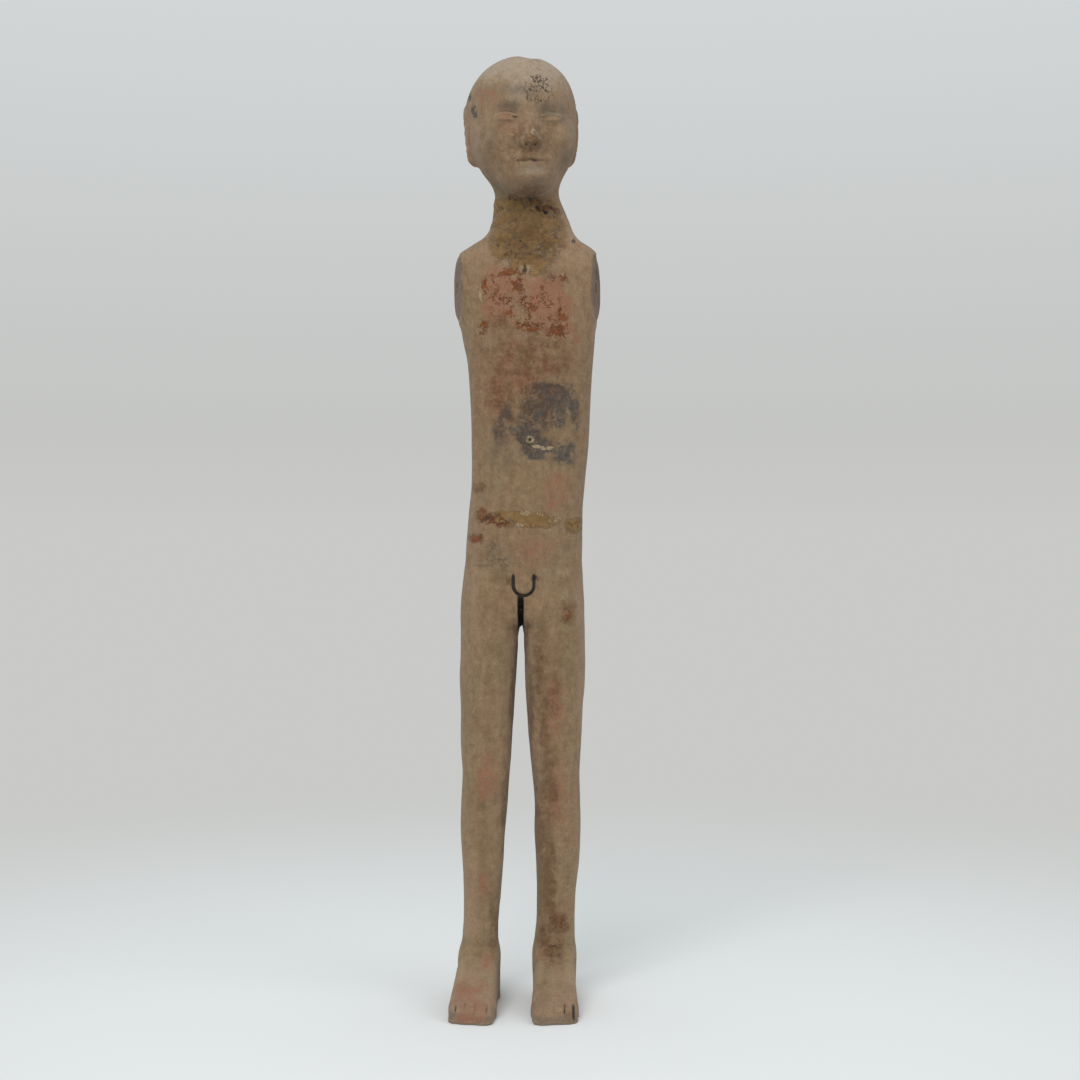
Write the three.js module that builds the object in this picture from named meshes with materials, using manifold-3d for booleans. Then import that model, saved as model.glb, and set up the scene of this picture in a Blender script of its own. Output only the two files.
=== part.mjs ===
// A standing tomb figure of fired clay: a naked, armless man with round seats at the shoulders,
// where separate arms once turned on pins. One solid, in millimetres, +Z up, facing -Y, with its
// origin on the ground under the middle of its bounding box.
import * as THREE from "three";
import { mergeVertices } from "three/addons/utils/BufferGeometryUtils.js";
import Module from "manifold-3d";

// Driving dimensions, in millimetres.
const HEIGHT = 596;
const ARM_SEAT_DIAMETER = 39;
const ARM_SEAT_SPAN = 87.7;
const ARM_SEAT_EDGE = 0.8;
const ARM_SEAT_LIP = 0.9;
const ARM_SOCKET_DIAMETER = 7.5;
const ARM_SOCKET_DEPTH = 12;
const NAVEL_DIAMETER = 5.6;
const NAVEL_PIT = 2.2;
const TOE_GROOVE_WIDTH = 1.1;
const TOE_GROOVE_DEPTH = 2.4;

// The free form is given in shares of the height, from a line on the ground between the ankles.
// CROWN of them make the height, and SHARE is one of them in millimetres.
const CROWN = 993;
const SHARE = HEIGHT / CROWN;
const SECTION_SQUARENESS = 2.35;

// Trunk from the groin to the shoulders: level, middle across, middle in depth, half the width,
// and how far the front and the back stand from that middle.
const TRUNK = [
  [405, -3.0, -8, 61.8, 33, 34],
  [450, -1.6, -8, 61.6, 35, 39],
  [481, -1.0, -10, 61.2, 37, 37],
  [513, 0.5, -12, 60.0, 38, 31],
  [545, 3.2, -13, 59.8, 39, 27],
  [593, 5.3, -14, 61.7, 37, 25],
  [640, 5.5, -14, 63.6, 37, 28],
  [673, 5.3, -14, 66.0, 39, 32],
  [705, 3.7, -13, 70.4, 41, 36],
  [736, 2.6, -12, 73.0, 40, 37],
  [768, 2.0, -11, 74.5, 36, 36],
  [800, 2.5, -10, 75.0, 31, 32],
];
const NECK = [
  [770, 5.0, -9, 52.0, 30, 31],
  [800, 6.6, -9, 45.0, 30, 31],
  [816, 6.4, -9, 42.3, 29, 30],
  [832, 5.3, -9, 37.4, 28, 30],
  [848, 2.4, -9, 34.2, 28, 30],
  [880, 1.0, -9, 33.0, 28, 30],
];
// Legs: level, middle and half width of the one on the -X side, the same of the one on the +X
// side, then middle, front and back in depth of both.
const LEG_LEVELS = [
  [20, -48.5, 19.0, 30.8, 20.5, 0, 16, 22],
  [51, -47.8, 19.4, 30.8, 21.8, 0, 18, 22],
  [83, -46.8, 18.1, 32.4, 20.4, 0, 18, 20],
  [114, -45.2, 19.6, 33.0, 20.6, 0, 18, 22],
  [146, -44.7, 21.5, 34.4, 22.8, -1, 19, 27],
  [178, -44.7, 23.6, 34.2, 24.4, -2, 21, 30],
  [210, -43.0, 24.8, 34.2, 24.1, -3, 23, 27],
  [242, -41.2, 25.2, 32.6, 25.2, -4, 26, 23],
  [274, -40.9, 27.1, 31.9, 27.8, -4, 27, 26],
  [306, -39.9, 28.2, 31.4, 29.6, -5, 29, 28],
  [338, -39.3, 29.8, 31.5, 32.0, -6, 31, 31],
  [370, -37.7, 30.3, 31.4, 32.2, -7, 32, 33],
  [418, -36.7, 30.4, 30.3, 31.4, -8, 33, 35],
  [450, -34.0, 27.0, 28.0, 27.5, -9, 31, 34],
];
// Feet: where the heel's and the ball's middles lie along the foot, their half widths, the toes'
// ends and how round they are, how deep the form is drawn before the flat sole is cut, and the
// instep's height.
const FOOT = {
  heel: -18,
  heelHalf: 18,
  ball: 76,
  ballHalf: 24.5,
  toes: 103,
  toesRound: 10,
  depth: 14,
};
const INSTEP = [
  [-40, 46],
  [0, 52],
  [25, 47],
  [50, 33],
  [75, 21],
  [100, 14],
  [112, 12],
];
const FEET = [
  { ankle: -48.5, turn: -0.06, bigToe: 1 },
  { ankle: 31.0, turn: 0.0, bigToe: -1 },
];
const TOE_GROOVES = [-15.5, -6.5, 4, 16];
const SHOULDER_RIDGE = { x: 5, level: 833, fall: 0.6, roll: 0.011 };
// Where each region of the form starts and ends.
const LEVELS = {
  carvedFrom: 320,
  trunkFrom: 380,
  trunkFoot: 398,
  shankTop: 455,
  legsTo: 470,
  neckFrom: 760,
  headFrom: 820,
  neckTop: 880,
};
// The legs join in a web that thins out downwards, with a slit in it: the slit's ceiling at the
// middle of the body, how it falls towards the back, and the level where the legs are apart.
const WEB = { foot: 335, top: 400, blend: 26 };
const SLIT = { x: -4.3, half: 3.2, level: 405.5, fall: 0.53, foot: 346 };
const ARM_SEAT = { x: 2.3, y: -11, level: 752, turn: 10, reach: 62, blend: 18, rim: 1.2 };
const RELIEF = { x: -1.1, level: 439.5, half: 9.5, groove: 2.4, straight: 9, depth: 4, proud: 2 };
const NAVEL = { x: 5.3, level: 590 };
const HEAD = { x: -2.7, y: -20, level: 842.5, tall: 150, middle: 78, turn: 0.14, roll: 0.02 };

// Carving is a list of rounded balls and bars that are melted on or pressed in, one after the
// other. Every one with x above 0 has a twin on the other side.
// The head's is in its own frame: from the chin up, and from the middle of the head.
const HEAD_CARVING = [
  { add: "ball", at: [0, 8, 92], size: [57, 59, 57], blend: 0 },
  { add: "ball", at: [0, -9, 54], size: [51, 43, 51], blend: 24 },
  { add: "ball", at: [0, -12, 106], size: [42, 39, 34], blend: 22 },
  { add: "ball", at: [0, -34, 15], size: [25, 17, 15], blend: 20 },
  { add: "ball", at: [30, -32, 52], size: [15, 14, 15], blend: 20 },
  { cut: "ball", at: [24, -66, 76], size: [17, 15, 9], blend: 16 },
  { add: "bar", from: [0, -49, 84], to: [0, -57, 55], size: [4.5, 6.5], blend: 13 },
  { add: "ball", at: [0, -60, 50.5], size: [7.5, 7.5, 6], blend: 6 },
  { add: "ball", at: [8, -56, 48.5], size: [5.5, 6, 4.8], blend: 5 },
  { add: "ball", at: [23, -44.5, 75], size: [11.5, 8, 6.5], blend: 5 },
  { add: "ball", at: [0, -45, 29], size: [22, 12, 14], blend: 16 },
  { add: "bar", from: [0, -56, 33], to: [12, -53, 31], size: [3.2, 2], blend: 4 },
  { add: "bar", from: [0, -55.5, 26], to: [10, -52.5, 28], size: [3.7, 2], blend: 4 },
  { cut: "bar", from: [0, -60.6, 29.6], to: [13, -57.8, 29.6], size: [2.2, 1.2], blend: 2 },
  { add: "ball", at: [50, 10, 70], size: [8, 12, 32], blend: 10 },
];
// Hair is a close cap over the skull, above a line that falls from the forehead to the nape.
const HAIR = { at: [0, 8, 92], size: [58.6, 60.8, 58], front: [-45, 124], fall: 0.82, edge: 8 };
const PARTING = { cut: "bar", from: [7, -40, 156], to: [7, 0, 163.6], size: [14, 14], blend: 6 };

// The trunk's and legs' own carving: buttocks, the furrow between them, and the spine's.
const BODY_CARVING = [
  { add: "ball", at: [30, 5, 432], size: [26, 30, 42], blend: 18 },
  { cut: "bar", from: [0, 54, 474], to: [0, 42, 400], size: [3, 8], blend: 14 },
  { cut: "bar", from: [0, 33, 760], to: [0, 20, 560], size: [6, 6], blend: 16 },
];
const BODY_MIDDLE = -2.6;

// How softly neighbouring regions melt together.
const BLENDS = { ridge: 8, trunkFoot: 12, neck: 10, legs: 6, neckTop: 4, head: 12, ankle: 12 };
const FOOT_BLENDS = { outline: 9, top: 11, sole: 4 };

// How the skin is meshed: columns round the trunk and head, more of them towards the face, and
// the points across the saddle between the legs.
const COLUMNS = 44;
const FACE_CROWDING = 0.48;
const SADDLE_COLUMNS = 4;
const RAY_STEP = 1.5;
const RELAXING = { rounds: 3, share: 0.4 };

const smoothMin = (a, b, k) => {
  const near = k > 0 ? Math.max(k - Math.abs(a - b), 0) / k : 0;
  return Math.min(a, b) - (near * near * k) / 4;
};
const smoothMax = (a, b, k) => -smoothMin(-a, -b, k);
const mix = (a, b, t) => a + (b - a) * t;
const clamp = THREE.MathUtils.clamp;
const radians = THREE.MathUtils.degToRad;

function ball([x, y, z], [cx, cy, cz], [rx, ry, rz]) {
  const [u, v, w] = [(x - cx) / rx, (y - cy) / ry, (z - cz) / rz];
  const reach = Math.hypot(u, v, w);
  return (reach * (reach - 1)) / Math.max(Math.hypot(u / rx, v / ry, w / rz), 1e-9);
}

function bar([x, y, z], [ax, ay, az], [bx, by, bz], [ra, rb]) {
  const [dx, dy, dz] = [bx - ax, by - ay, bz - az];
  const along = (x - ax) * dx + (y - ay) * dy + (z - az) * dz;
  const t = clamp(along / (dx * dx + dy * dy + dz * dz), 0, 1);
  return Math.hypot(x - ax - dx * t, y - ay - dy * t, z - az - dz * t) - mix(ra, rb, t);
}

function carve(field, p, feature) {
  const paired = (feature.at ?? feature.to)[0] > 0 && !feature.single;
  const q = paired ? [Math.abs(p[0]), p[1], p[2]] : p;
  const shape = feature.add ?? feature.cut;
  const value =
    shape === "ball"
      ? ball(q, feature.at, feature.size)
      : bar(q, feature.from, feature.to, feature.size);
  return feature.add
    ? smoothMin(field, value, feature.blend)
    : smoothMax(field, -value, feature.blend);
}

const splineOf = (rows, width) =>
  new THREE.CubicInterpolant(
    rows.map((row) => row[0]),
    rows.flatMap((row) => row.slice(1, 1 + width)),
    width,
  );

// Distance to a form given by sections at rising levels, each a squarish oval.
function loft(rows) {
  const spline = splineOf(rows, 5);
  return ([x, y, z]) => {
    const [cx, cy, half, front, back] = spline.evaluate(z);
    const depth = y < cy ? front : back;
    const [u, v] = [Math.abs(x - cx) / half, Math.abs(y - cy) / depth];
    const n = SECTION_SQUARENESS;
    const reach = Math.max((u ** n + v ** n) ** (1 / n), 1e-6);
    const slope = Math.hypot(u ** (n - 1) / half, v ** (n - 1) / depth) * reach ** (1 - n);
    return (reach - 1) / slope;
  };
}

const legRows = [
  LEG_LEVELS.map(([z, x, half, , , y, front, back]) => [z, x, y, half, front, back]),
  LEG_LEVELS.map(([z, , , x, half, y, front, back]) => [z, x, y, half, front, back]),
];
const trunkLoft = loft(TRUNK);
const neckLoft = loft(NECK);
const legLofts = legRows.map(loft);
const instep = splineOf(INSTEP, 1);

function trunk(p) {
  const [x, y, z] = p;
  const { level, fall, roll } = SHOULDER_RIDGE;
  const slope = z - level + fall * Math.abs(x - SHOULDER_RIDGE.x) + roll * (y - ARM_SEAT.y) ** 2;
  const ridge = slope / Math.hypot(1, fall);
  const inner = [0, ARM_SEAT.y, ARM_SEAT.level];
  const outer = [ARM_SEAT.reach, ARM_SEAT.y, ARM_SEAT.level];
  const radius = ARM_SEAT_DIAMETER / 2 / SHARE - ARM_SEAT.rim;
  const away = Math.abs(x - ARM_SEAT.x);
  const shoulder = bar([away, y, z], inner, outer, [radius, radius]);
  return smoothMax(smoothMin(trunkLoft(p), shoulder, ARM_SEAT.blend), ridge, BLENDS.ridge);
}

// Across and along one foot, from its ankle.
function alongFoot([x, y], { ankle, turn }) {
  const [dx, dy] = [x - ankle, -y];
  return [dx * Math.cos(turn) - dy * Math.sin(turn), dy * Math.cos(turn) + dx * Math.sin(turn)];
}

function foot(p, stance) {
  const [side, along] = alongFoot(p, stance);
  const t = clamp((along - FOOT.heel) / (FOOT.ball - FOOT.heel), 0, 1);
  const plan =
    Math.hypot(side, along - mix(FOOT.heel, FOOT.ball, t)) - mix(FOOT.heelHalf, FOOT.ballHalf, t);
  const sides = Math.abs(side) - FOOT.ballHalf * 0.95;
  const slant = FOOT.toes - 0.16 * Math.max(0, 12 - side * stance.bigToe);
  const outline = smoothMax(along > FOOT.ball ? sides : plan, along - slant, FOOT_BLENDS.outline);
  const top = (p[2] - instep.evaluate(along)[0]) * 0.85;
  return smoothMax(smoothMax(outline, top, FOOT_BLENDS.top), -p[2] - FOOT.depth, FOOT_BLENDS.sole);
}

function leg(p, i) {
  const shank = smoothMax(legLofts[i](p), p[2] - LEVELS.shankTop, BLENDS.neckTop);
  return smoothMin(shank, foot(p, FEET[i]), BLENDS.ankle);
}

const headFrame = new THREE.Matrix4()
  .makeTranslation(HEAD.x, HEAD.y, HEAD.level + HEAD.tall / 2)
  .multiply(
    new THREE.Matrix4().makeRotationFromEuler(new THREE.Euler(0, -HEAD.roll, HEAD.turn, "ZYX")),
  )
  .multiply(new THREE.Matrix4().makeTranslation(0, 0, -HEAD.tall / 2));
const toHead = headFrame.clone().invert();

function head(p) {
  const q = new THREE.Vector3(...p).applyMatrix4(toHead).toArray();
  const [hairY, hairZ] = HAIR.front;
  const hairline = (hairZ - q[2] + HAIR.fall * (hairY - q[1])) / Math.hypot(1, HAIR.fall);
  const skull = HEAD_CARVING.reduce((field, feature) => carve(field, q, feature), Infinity);
  const hair = smoothMax(ball(q, HAIR.at, HAIR.size), hairline, HAIR.edge);
  return carve(smoothMin(skull, hair, HAIR.edge / 2), q, { ...PARTING, single: true });
}

function legs(p) {
  const web = WEB.blend * THREE.MathUtils.smoothstep(p[2], WEB.foot, WEB.top);
  return smoothMin(leg(p, 0), leg(p, 1), web);
}

// The whole figure without its finer cuts, and drawn through its soles: negative inside, about the
// distance to the surface.
function figure(p) {
  const [x, y, z] = p;
  let field = Infinity;
  if (z > LEVELS.trunkFrom) field = smoothMax(trunk(p), LEVELS.trunkFoot - z, BLENDS.trunkFoot);
  if (z > LEVELS.neckFrom) field = smoothMin(field, neckLoft(p), BLENDS.neck);
  if (z < LEVELS.legsTo) field = smoothMin(field, legs(p), BLENDS.legs);
  if (z > LEVELS.carvedFrom && z < LEVELS.headFrom) {
    const q = [x - BODY_MIDDLE, y, z];
    field = BODY_CARVING.reduce((carved, feature) => carve(carved, q, feature), field);
  }
  if (z > LEVELS.headFrom) {
    const neck = smoothMax(field, z - LEVELS.neckTop, BLENDS.neckTop);
    field = smoothMin(neck, head(p), BLENDS.head);
  }
  return field;
}

// Where a ray that starts inside the clay comes out of it.
function surfacePoint(start, way) {
  const at = (t) => start.clone().addScaledVector(way, t);
  let outside = 0;
  while (figure(at(outside).toArray()) < 0) outside += RAY_STEP;
  let inside = Math.max(outside - RAY_STEP, 0);
  for (let i = 0; i < 20; i++) {
    const middle = (inside + outside) / 2;
    if (figure(at(middle).toArray()) < 0) inside = middle;
    else outside = middle;
  }
  return at(inside);
}

// A point near the surface, moved onto it straight up or down the field's slope.
function settle(point) {
  const nearby = 0.05;
  for (let i = 0; i < 4; i++) {
    const here = figure(point.toArray());
    const slope = new THREE.Vector3(
      ...["x", "y", "z"].map((axis) => {
        const beside = point.clone();
        beside[axis] += nearby;
        return (figure(beside.toArray()) - here) / nearby;
      }),
    );
    point.addScaledVector(slope, -here / Math.max(slope.lengthSq(), 0.25));
  }
  return point;
}

const vertices = [];
const triangles = [];
const addVertex = (point) => vertices.push(point) - 1;

// A ring of rays from one point: each goes out at its angle, lifted out of the ring's plane.
function castRing({ start, across, back, up, lift = () => 0 }, angles) {
  return angles.map((angle) => {
    const way = new THREE.Vector3()
      .addScaledVector(across, Math.sin(angle) * Math.cos(lift(angle)))
      .addScaledVector(back, -Math.cos(angle) * Math.cos(lift(angle)))
      .addScaledVector(up, Math.sin(lift(angle)));
    return addVertex(surfacePoint(start, way));
  });
}

// Two triangles between each pair of neighbours on two rings, the first ring above the second,
// parted by the shorter diagonal.
function stitch(upper, lower) {
  const apart = (a, b) => vertices[a].distanceTo(vertices[b]);
  upper.forEach((a, i) => {
    const next = (i + 1) % upper.length;
    const [b, c, d] = [upper[next], lower[next], lower[i]];
    if (apart(a, c) > apart(b, d)) triangles.push([a, d, b], [b, d, c]);
    else triangles.push([a, d, c], [a, c, b]);
  });
}

function closeWith(tip, ring, above) {
  ring.forEach((a, i) => {
    const b = ring[(i + 1) % ring.length];
    triangles.push(above ? [tip, a, b] : [tip, b, a]);
  });
}

const AXES = {
  across: new THREE.Vector3(1, 0, 0),
  back: new THREE.Vector3(0, 1, 0),
  up: new THREE.Vector3(0, 0, 1),
};
const turned = (axes, matrix) =>
  Object.fromEntries(
    Object.entries(axes).map(([name, axis]) => [name, axis.clone().transformDirection(matrix)]),
  );

const columnAngles = (crowding, turn) =>
  Array.from({ length: COLUMNS }, (_, i) => {
    const angle = (2 * Math.PI * i) / COLUMNS;
    return angle - crowding * Math.sin(angle) + turn;
  });

// Rings of the head, in degrees above the middle of the skull: at the face, and at the nape.
const LEVEL_RINGS = [
  84, 75, 65, 55, 46, 38, 31, 25, 19.5, 14.5, 10, 6, 2, -2, -5.5, -9, -12.5, -16,
];
const HEAD_RINGS = [
  ...LEVEL_RINGS.map((ring) => [ring, ring]),
  [-19.5, -19],
  [-22.5, -22],
  [-25.5, -25],
  [-28.5, -27.5],
  [-31.5, -30],
  [-34.3, -32],
  [-36.6, -33.7],
  [-38.4, -35.4],
  [-40.1, -37.1],
  [-41.8, -38.8],
  [-43.6, -40.5],
  [-46.5, -42.5],
  [-50.5, -45],
  [-56, -48],
  [-64, -52],
  [-73, -55],
];
const BODY_RINGS = [
  836, 826, 816, 807, 799, 790, 778, 762, 744, 722, 695, 655, 615, 575, 538, 505, 473, 448,
  424, 403, 384,
];
const LEG_RINGS = [346, 328, 298, 270, 240, 210, 180, 150, 122, 100, 84];
const GROIN_SHARES = [0.4, 0.75];
const FOOT_FAN = { along: 24, level: 64, reach: 27, turns: [0, 18, 33, 46, 58, 73, 90] };
const FOOT_RINGS = [37, 51, 64, 76, 85, 91];
const TOE_CAP = { along: 92, level: 2, lifts: [-14, -32, -55] };

const rings = { trunk: splineOf(TRUNK, 2), neck: splineOf(NECK, 2) };
const centreAt = (spline, z) => new THREE.Vector3(...spline.evaluate(z), z);

// Head, neck and trunk, from the crown down to just above the groin.
function meshUpperBody() {
  const middle = new THREE.Vector3(0, -2, HEAD.middle).applyMatrix4(headFrame);
  const axes = turned(AXES, headFrame);
  const crown = addVertex(surfacePoint(middle, axes.up));
  const headAngles = columnAngles(FACE_CROWDING, 0);
  let ring = null;
  for (const [face, nape] of HEAD_RINGS) {
    const lift = (angle) => radians(mix(face, nape, (1 - Math.cos(angle)) / 2));
    const next = castRing({ start: middle, ...axes, lift }, headAngles);
    if (ring) stitch(ring, next);
    else closeWith(crown, next, true);
    ring = next;
  }
  BODY_RINGS.forEach((level, row) => {
    const spline = level > NECK[1][0] ? rings.neck : rings.trunk;
    const headShare = Math.max(0, 1 - row / 8);
    const angles = columnAngles(FACE_CROWDING * headShare, HEAD.turn * headShare);
    const next = castRing({ start: centreAt(spline, level), ...AXES }, angles);
    stitch(ring, next);
    ring = next;
  });
  return ring;
}

// The trunk's last ring parts into two, each closed by the same saddle of points between the
// legs, from the front to the back, found straight down from inside the trunk.
function partRing(ring) {
  const [front, back] = [vertices[ring[0]], vertices[ring[COLUMNS / 2]]];
  const saddle = Array.from({ length: SADDLE_COLUMNS }, (_, i) => {
    const start = front.clone().lerp(back, (i + 1) / (SADDLE_COLUMNS + 1));
    return addVertex(surfacePoint(start, AXES.up.clone().negate()));
  });
  return [
    [...ring.slice(COLUMNS / 2), ring[0], ...saddle],
    [...ring.slice(0, COLUMNS / 2 + 1), ...saddle.toReversed()],
  ];
}

// Angles at which a ring's points are seen from a centre, always rising.
function anglesFrom(centre, ring) {
  const angles = ring.map((id) =>
    Math.atan2(vertices[id].x - centre.x, centre.y - vertices[id].y),
  );
  for (let i = 1; i < angles.length; i++) {
    while (angles[i] < angles[i - 1]) angles[i] += 2 * Math.PI;
  }
  return angles;
}

// Ring frames that turn from level at the ankle to upright at the instep, about a line in front
// of the ankle, and then go forward to the toes.
function footFrames({ ankle, turn }) {
  const forward = new THREE.Vector3(Math.sin(turn), -Math.cos(turn), 0);
  const across = new THREE.Vector3(Math.cos(turn), Math.sin(turn), 0);
  const place = (along, level) => new THREE.Vector3(ankle, 0, level).addScaledVector(forward, along);
  const fan = FOOT_FAN.turns.map((degrees) => {
    const [c, s] = [Math.cos(radians(degrees)), Math.sin(radians(degrees))];
    const back = forward.clone().multiplyScalar(-c).addScaledVector(AXES.up, -s);
    const up = AXES.up.clone().multiplyScalar(c).addScaledVector(forward, -s);
    const start = place(FOOT_FAN.along, FOOT_FAN.level).addScaledVector(back, FOOT_FAN.reach);
    return { start, across, back, up };
  });
  const ahead = { across, back: AXES.up.clone().negate(), up: forward.clone().negate() };
  const straight = FOOT_RINGS.map((along) => {
    return { start: place(along, instep.evaluate(along)[0] * 0.4), ...ahead };
  });
  const start = place(TOE_CAP.along, TOE_CAP.level);
  const cap = TOE_CAP.lifts.map((degrees) => ({ start, ...ahead, lift: () => radians(degrees) }));
  return [...fan, ...straight, ...cap];
}

// One leg and foot, from its half of the parted ring down and forward to the toes.
function meshLeg(top, i) {
  const spline = splineOf(legRows[i], 2);
  const given = anglesFrom(centreAt(spline, LEG_RINGS[0]), top);
  const step = (2 * Math.PI) / given.length;
  const shift = given.reduce((sum, angle, j) => sum + angle - step * j, 0) / given.length;
  const even = given.map((_, j) => shift + step * j);
  const thigh = castRing({ start: centreAt(spline, LEG_RINGS[0]), ...AXES }, given);
  let above = top;
  for (const share of GROIN_SHARES) {
    const next = top.map((id, j) =>
      addVertex(settle(vertices[id].clone().lerp(vertices[thigh[j]], share))),
    );
    stitch(above, next);
    above = next;
  }
  stitch(above, thigh);
  above = thigh;
  LEG_RINGS.slice(1).forEach((level, row) => {
    const angles = given.map((angle, j) => mix(angle, even[j], Math.min((row + 1) / 4, 1)));
    const next = castRing({ start: centreAt(spline, level), ...AXES }, angles);
    stitch(above, next);
    above = next;
  });
  const frames = footFrames(FEET[i]);
  for (const frame of frames) {
    const next = castRing(frame, even);
    stitch(above, next);
    above = next;
  }
  const { start, up } = frames.at(-1);
  closeWith(addVertex(surfacePoint(start, up.clone().negate())), above, false);
}

// Evens out the vertices along the surface, each towards the mean of its neighbours.
function relax() {
  const neighbours = vertices.map(() => new Set());
  for (const [a, b, c] of triangles) {
    neighbours[a].add(b).add(c);
    neighbours[b].add(a).add(c);
    neighbours[c].add(a).add(b);
  }
  for (let round = 0; round < RELAXING.rounds; round++) {
    const moved = vertices.map((point, id) => {
      const mean = new THREE.Vector3();
      neighbours[id].forEach((other) => mean.add(vertices[other]));
      mean.divideScalar(neighbours[id].size);
      return settle(point.clone().lerp(mean, RELAXING.share));
    });
    moved.forEach((point, id) => vertices[id].copy(point));
  }
}

const wasm = await Module();
wasm.setup();

function solidFrom(positions, indices) {
  const vertProperties = Float32Array.from(positions);
  const triVerts = Uint32Array.from(indices);
  return new wasm.Manifold(new wasm.Mesh({ numProp: 3, vertProperties, triVerts }));
}

function solidOf(geometry) {
  geometry.deleteAttribute("normal");
  geometry.deleteAttribute("uv");
  const merged = mergeVertices(geometry, 1e-4);
  return solidFrom(merged.attributes.position.array, merged.index.array);
}

function geometryOf(solid) {
  const mesh = solid.getMesh();
  const geometry = new THREE.BufferGeometry();
  geometry.setAttribute("position", new THREE.BufferAttribute(mesh.vertProperties, 3));
  geometry.setIndex(new THREE.BufferAttribute(mesh.triVerts, 1));
  return geometry;
}

function skin() {
  partRing(meshUpperBody()).forEach(meshLeg);
  relax();
  return solidFrom(
    vertices.flatMap((point) => point.clone().multiplyScalar(SHARE).toArray()),
    triangles.flat(),
  );
}

// Everything below the ground, which cuts the soles flat.
function ground() {
  const size = HEIGHT / 2;
  return solidOf(new THREE.BoxGeometry(size, size, size).translate(0, 0, -size / 2));
}

// A lathed piece whose axis points out of one shoulder and a little forward, from a profile of
// radii and distances from the seat's face.
function shoulderPiece(profile, side) {
  const points = profile.map(([radius, out]) => new THREE.Vector2(radius, out));
  const { x, y, level, turn } = ARM_SEAT;
  const geometry = new THREE.LatheGeometry(points, 30)
    .rotateZ((-side * Math.PI) / 2)
    .rotateZ(-side * radians(turn))
    .translate(x * SHARE + (side * ARM_SEAT_SPAN) / 2, y * SHARE, level * SHARE);
  return solidOf(geometry);
}

function shoulders(body) {
  const [radius, edge, pin] = [ARM_SEAT_DIAMETER / 2, ARM_SEAT_EDGE, ARM_SOCKET_DIAMETER / 2];
  const [root, past, lip] = [-radius / 2, radius, ARM_SEAT_LIP];
  const [floor, brim] = [radius * 1.03, radius * 1.25];
  const room = [[0, -lip], [floor, -lip], [brim, 2.4 * lip], [brim, past], [0, past]];
  const seat = [[0, root], [radius, root], [radius, -edge], [radius - edge, 0], [0, 0]];
  const socket = [[0, -ARM_SOCKET_DEPTH], [pin, -ARM_SOCKET_DEPTH], [pin, past], [0, past]];
  return [-1, 1].reduce(
    (solid, side) =>
      solid
        .subtract(shoulderPiece(room, side))
        .add(shoulderPiece(seat, side))
        .subtract(shoulderPiece(socket, side)),
    body,
  );
}

// The slit between the thighs, drawn from the side, past the front and the back of the body.
function slit(body) {
  const { x, half, level, fall, foot: bottom } = SLIT;
  const reach = CROWN / 16;
  const side = new THREE.Shape();
  side.moveTo(-reach, bottom);
  side.lineTo(reach, bottom);
  side.lineTo(reach, level - fall * reach);
  side.lineTo(-reach, level + fall * reach);
  const blade = new THREE.ExtrudeGeometry(side, { depth: 2 * half, bevelEnabled: false });
  blade.rotateX(Math.PI / 2).rotateZ(Math.PI / 2).translate(x - half, 0, 0);
  return body.subtract(solidOf(blade.scale(SHARE, SHARE, SHARE)));
}

// The front of the body at one place, in millimetres.
function frontAt(x, level) {
  const start = new THREE.Vector3(x, rings.trunk.evaluate(level)[1], level);
  return surfacePoint(start, AXES.back.clone().negate()).multiplyScalar(SHARE);
}

// The navel: a low ring with a pit.
function navel(body) {
  const [rim, pit, proud] = [NAVEL_DIAMETER / 2, NAVEL_PIT / 2, NAVEL_DIAMETER / 10];
  const profile = [[0, -rim], [rim, -rim], [rim, 0], [(rim + pit) / 2, proud], [pit, 0], [0, -pit]];
  const points = profile.map(([radius, out]) => new THREE.Vector2(radius, out));
  const { x, y, z } = frontAt(NAVEL.x, NAVEL.level);
  const ring = new THREE.LatheGeometry(points, 16).rotateX(Math.PI);
  return body.add(solidOf(ring.translate(x, y, z)));
}

// The low relief at the groin: a rounded tab inside a groove shaped like a U.
function relief(body) {
  const { x, level, half, groove, straight, depth, proud } = RELIEF;
  const outline = new THREE.Shape();
  outline.moveTo(-half - groove, straight);
  outline.lineTo(-half - groove, 0);
  outline.absarc(0, 0, half + groove, Math.PI, 2 * Math.PI, false);
  outline.lineTo(half + groove, straight);
  outline.lineTo(half, straight);
  outline.lineTo(half, 0);
  outline.absarc(0, 0, half, 0, -Math.PI, true);
  outline.lineTo(-half, straight);
  const front = frontAt(x, level).divideScalar(SHARE);
  const blade = { depth: 4 * depth, bevelEnabled: false, curveSegments: 10 };
  const place = (geometry) => solidOf(geometry.scale(SHARE, SHARE, SHARE));
  const cut = new THREE.ExtrudeGeometry(outline, blade).rotateX(Math.PI / 2);
  cut.translate(x, front.y + depth, level);
  const tab = new THREE.SphereGeometry(1, 14, 10).scale(half, 1 + proud, half + 3);
  tab.translate(x, front.y + 1, level + 1);
  return body.subtract(place(cut)).add(place(tab));
}

// Grooves that part the toes: blades that lean back over the rounded ends of the feet.
function toeGrooves(body) {
  const lean = Math.PI / 4;
  const blade = HEIGHT / 15;
  const blades = FEET.flatMap(({ ankle, turn, bigToe }) =>
    TOE_GROOVES.map((side) => {
      const round = (FOOT.toes - FOOT.toesRound) * SHARE;
      const near = FOOT.toesRound * SHARE - TOE_GROOVE_DEPTH;
      return new THREE.BoxGeometry(TOE_GROOVE_WIDTH, blade, blade)
        .translate(0, -near - blade / 2, 0)
        .rotateX(-lean)
        .translate(side * bigToe * SHARE, -round, 3 * SHARE)
        .rotateZ(turn)
        .translate(ankle * SHARE, 0, 0);
    }),
  );
  return blades.reduce((solid, geometry) => solid.subtract(solidOf(geometry)), body);
}

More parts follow.
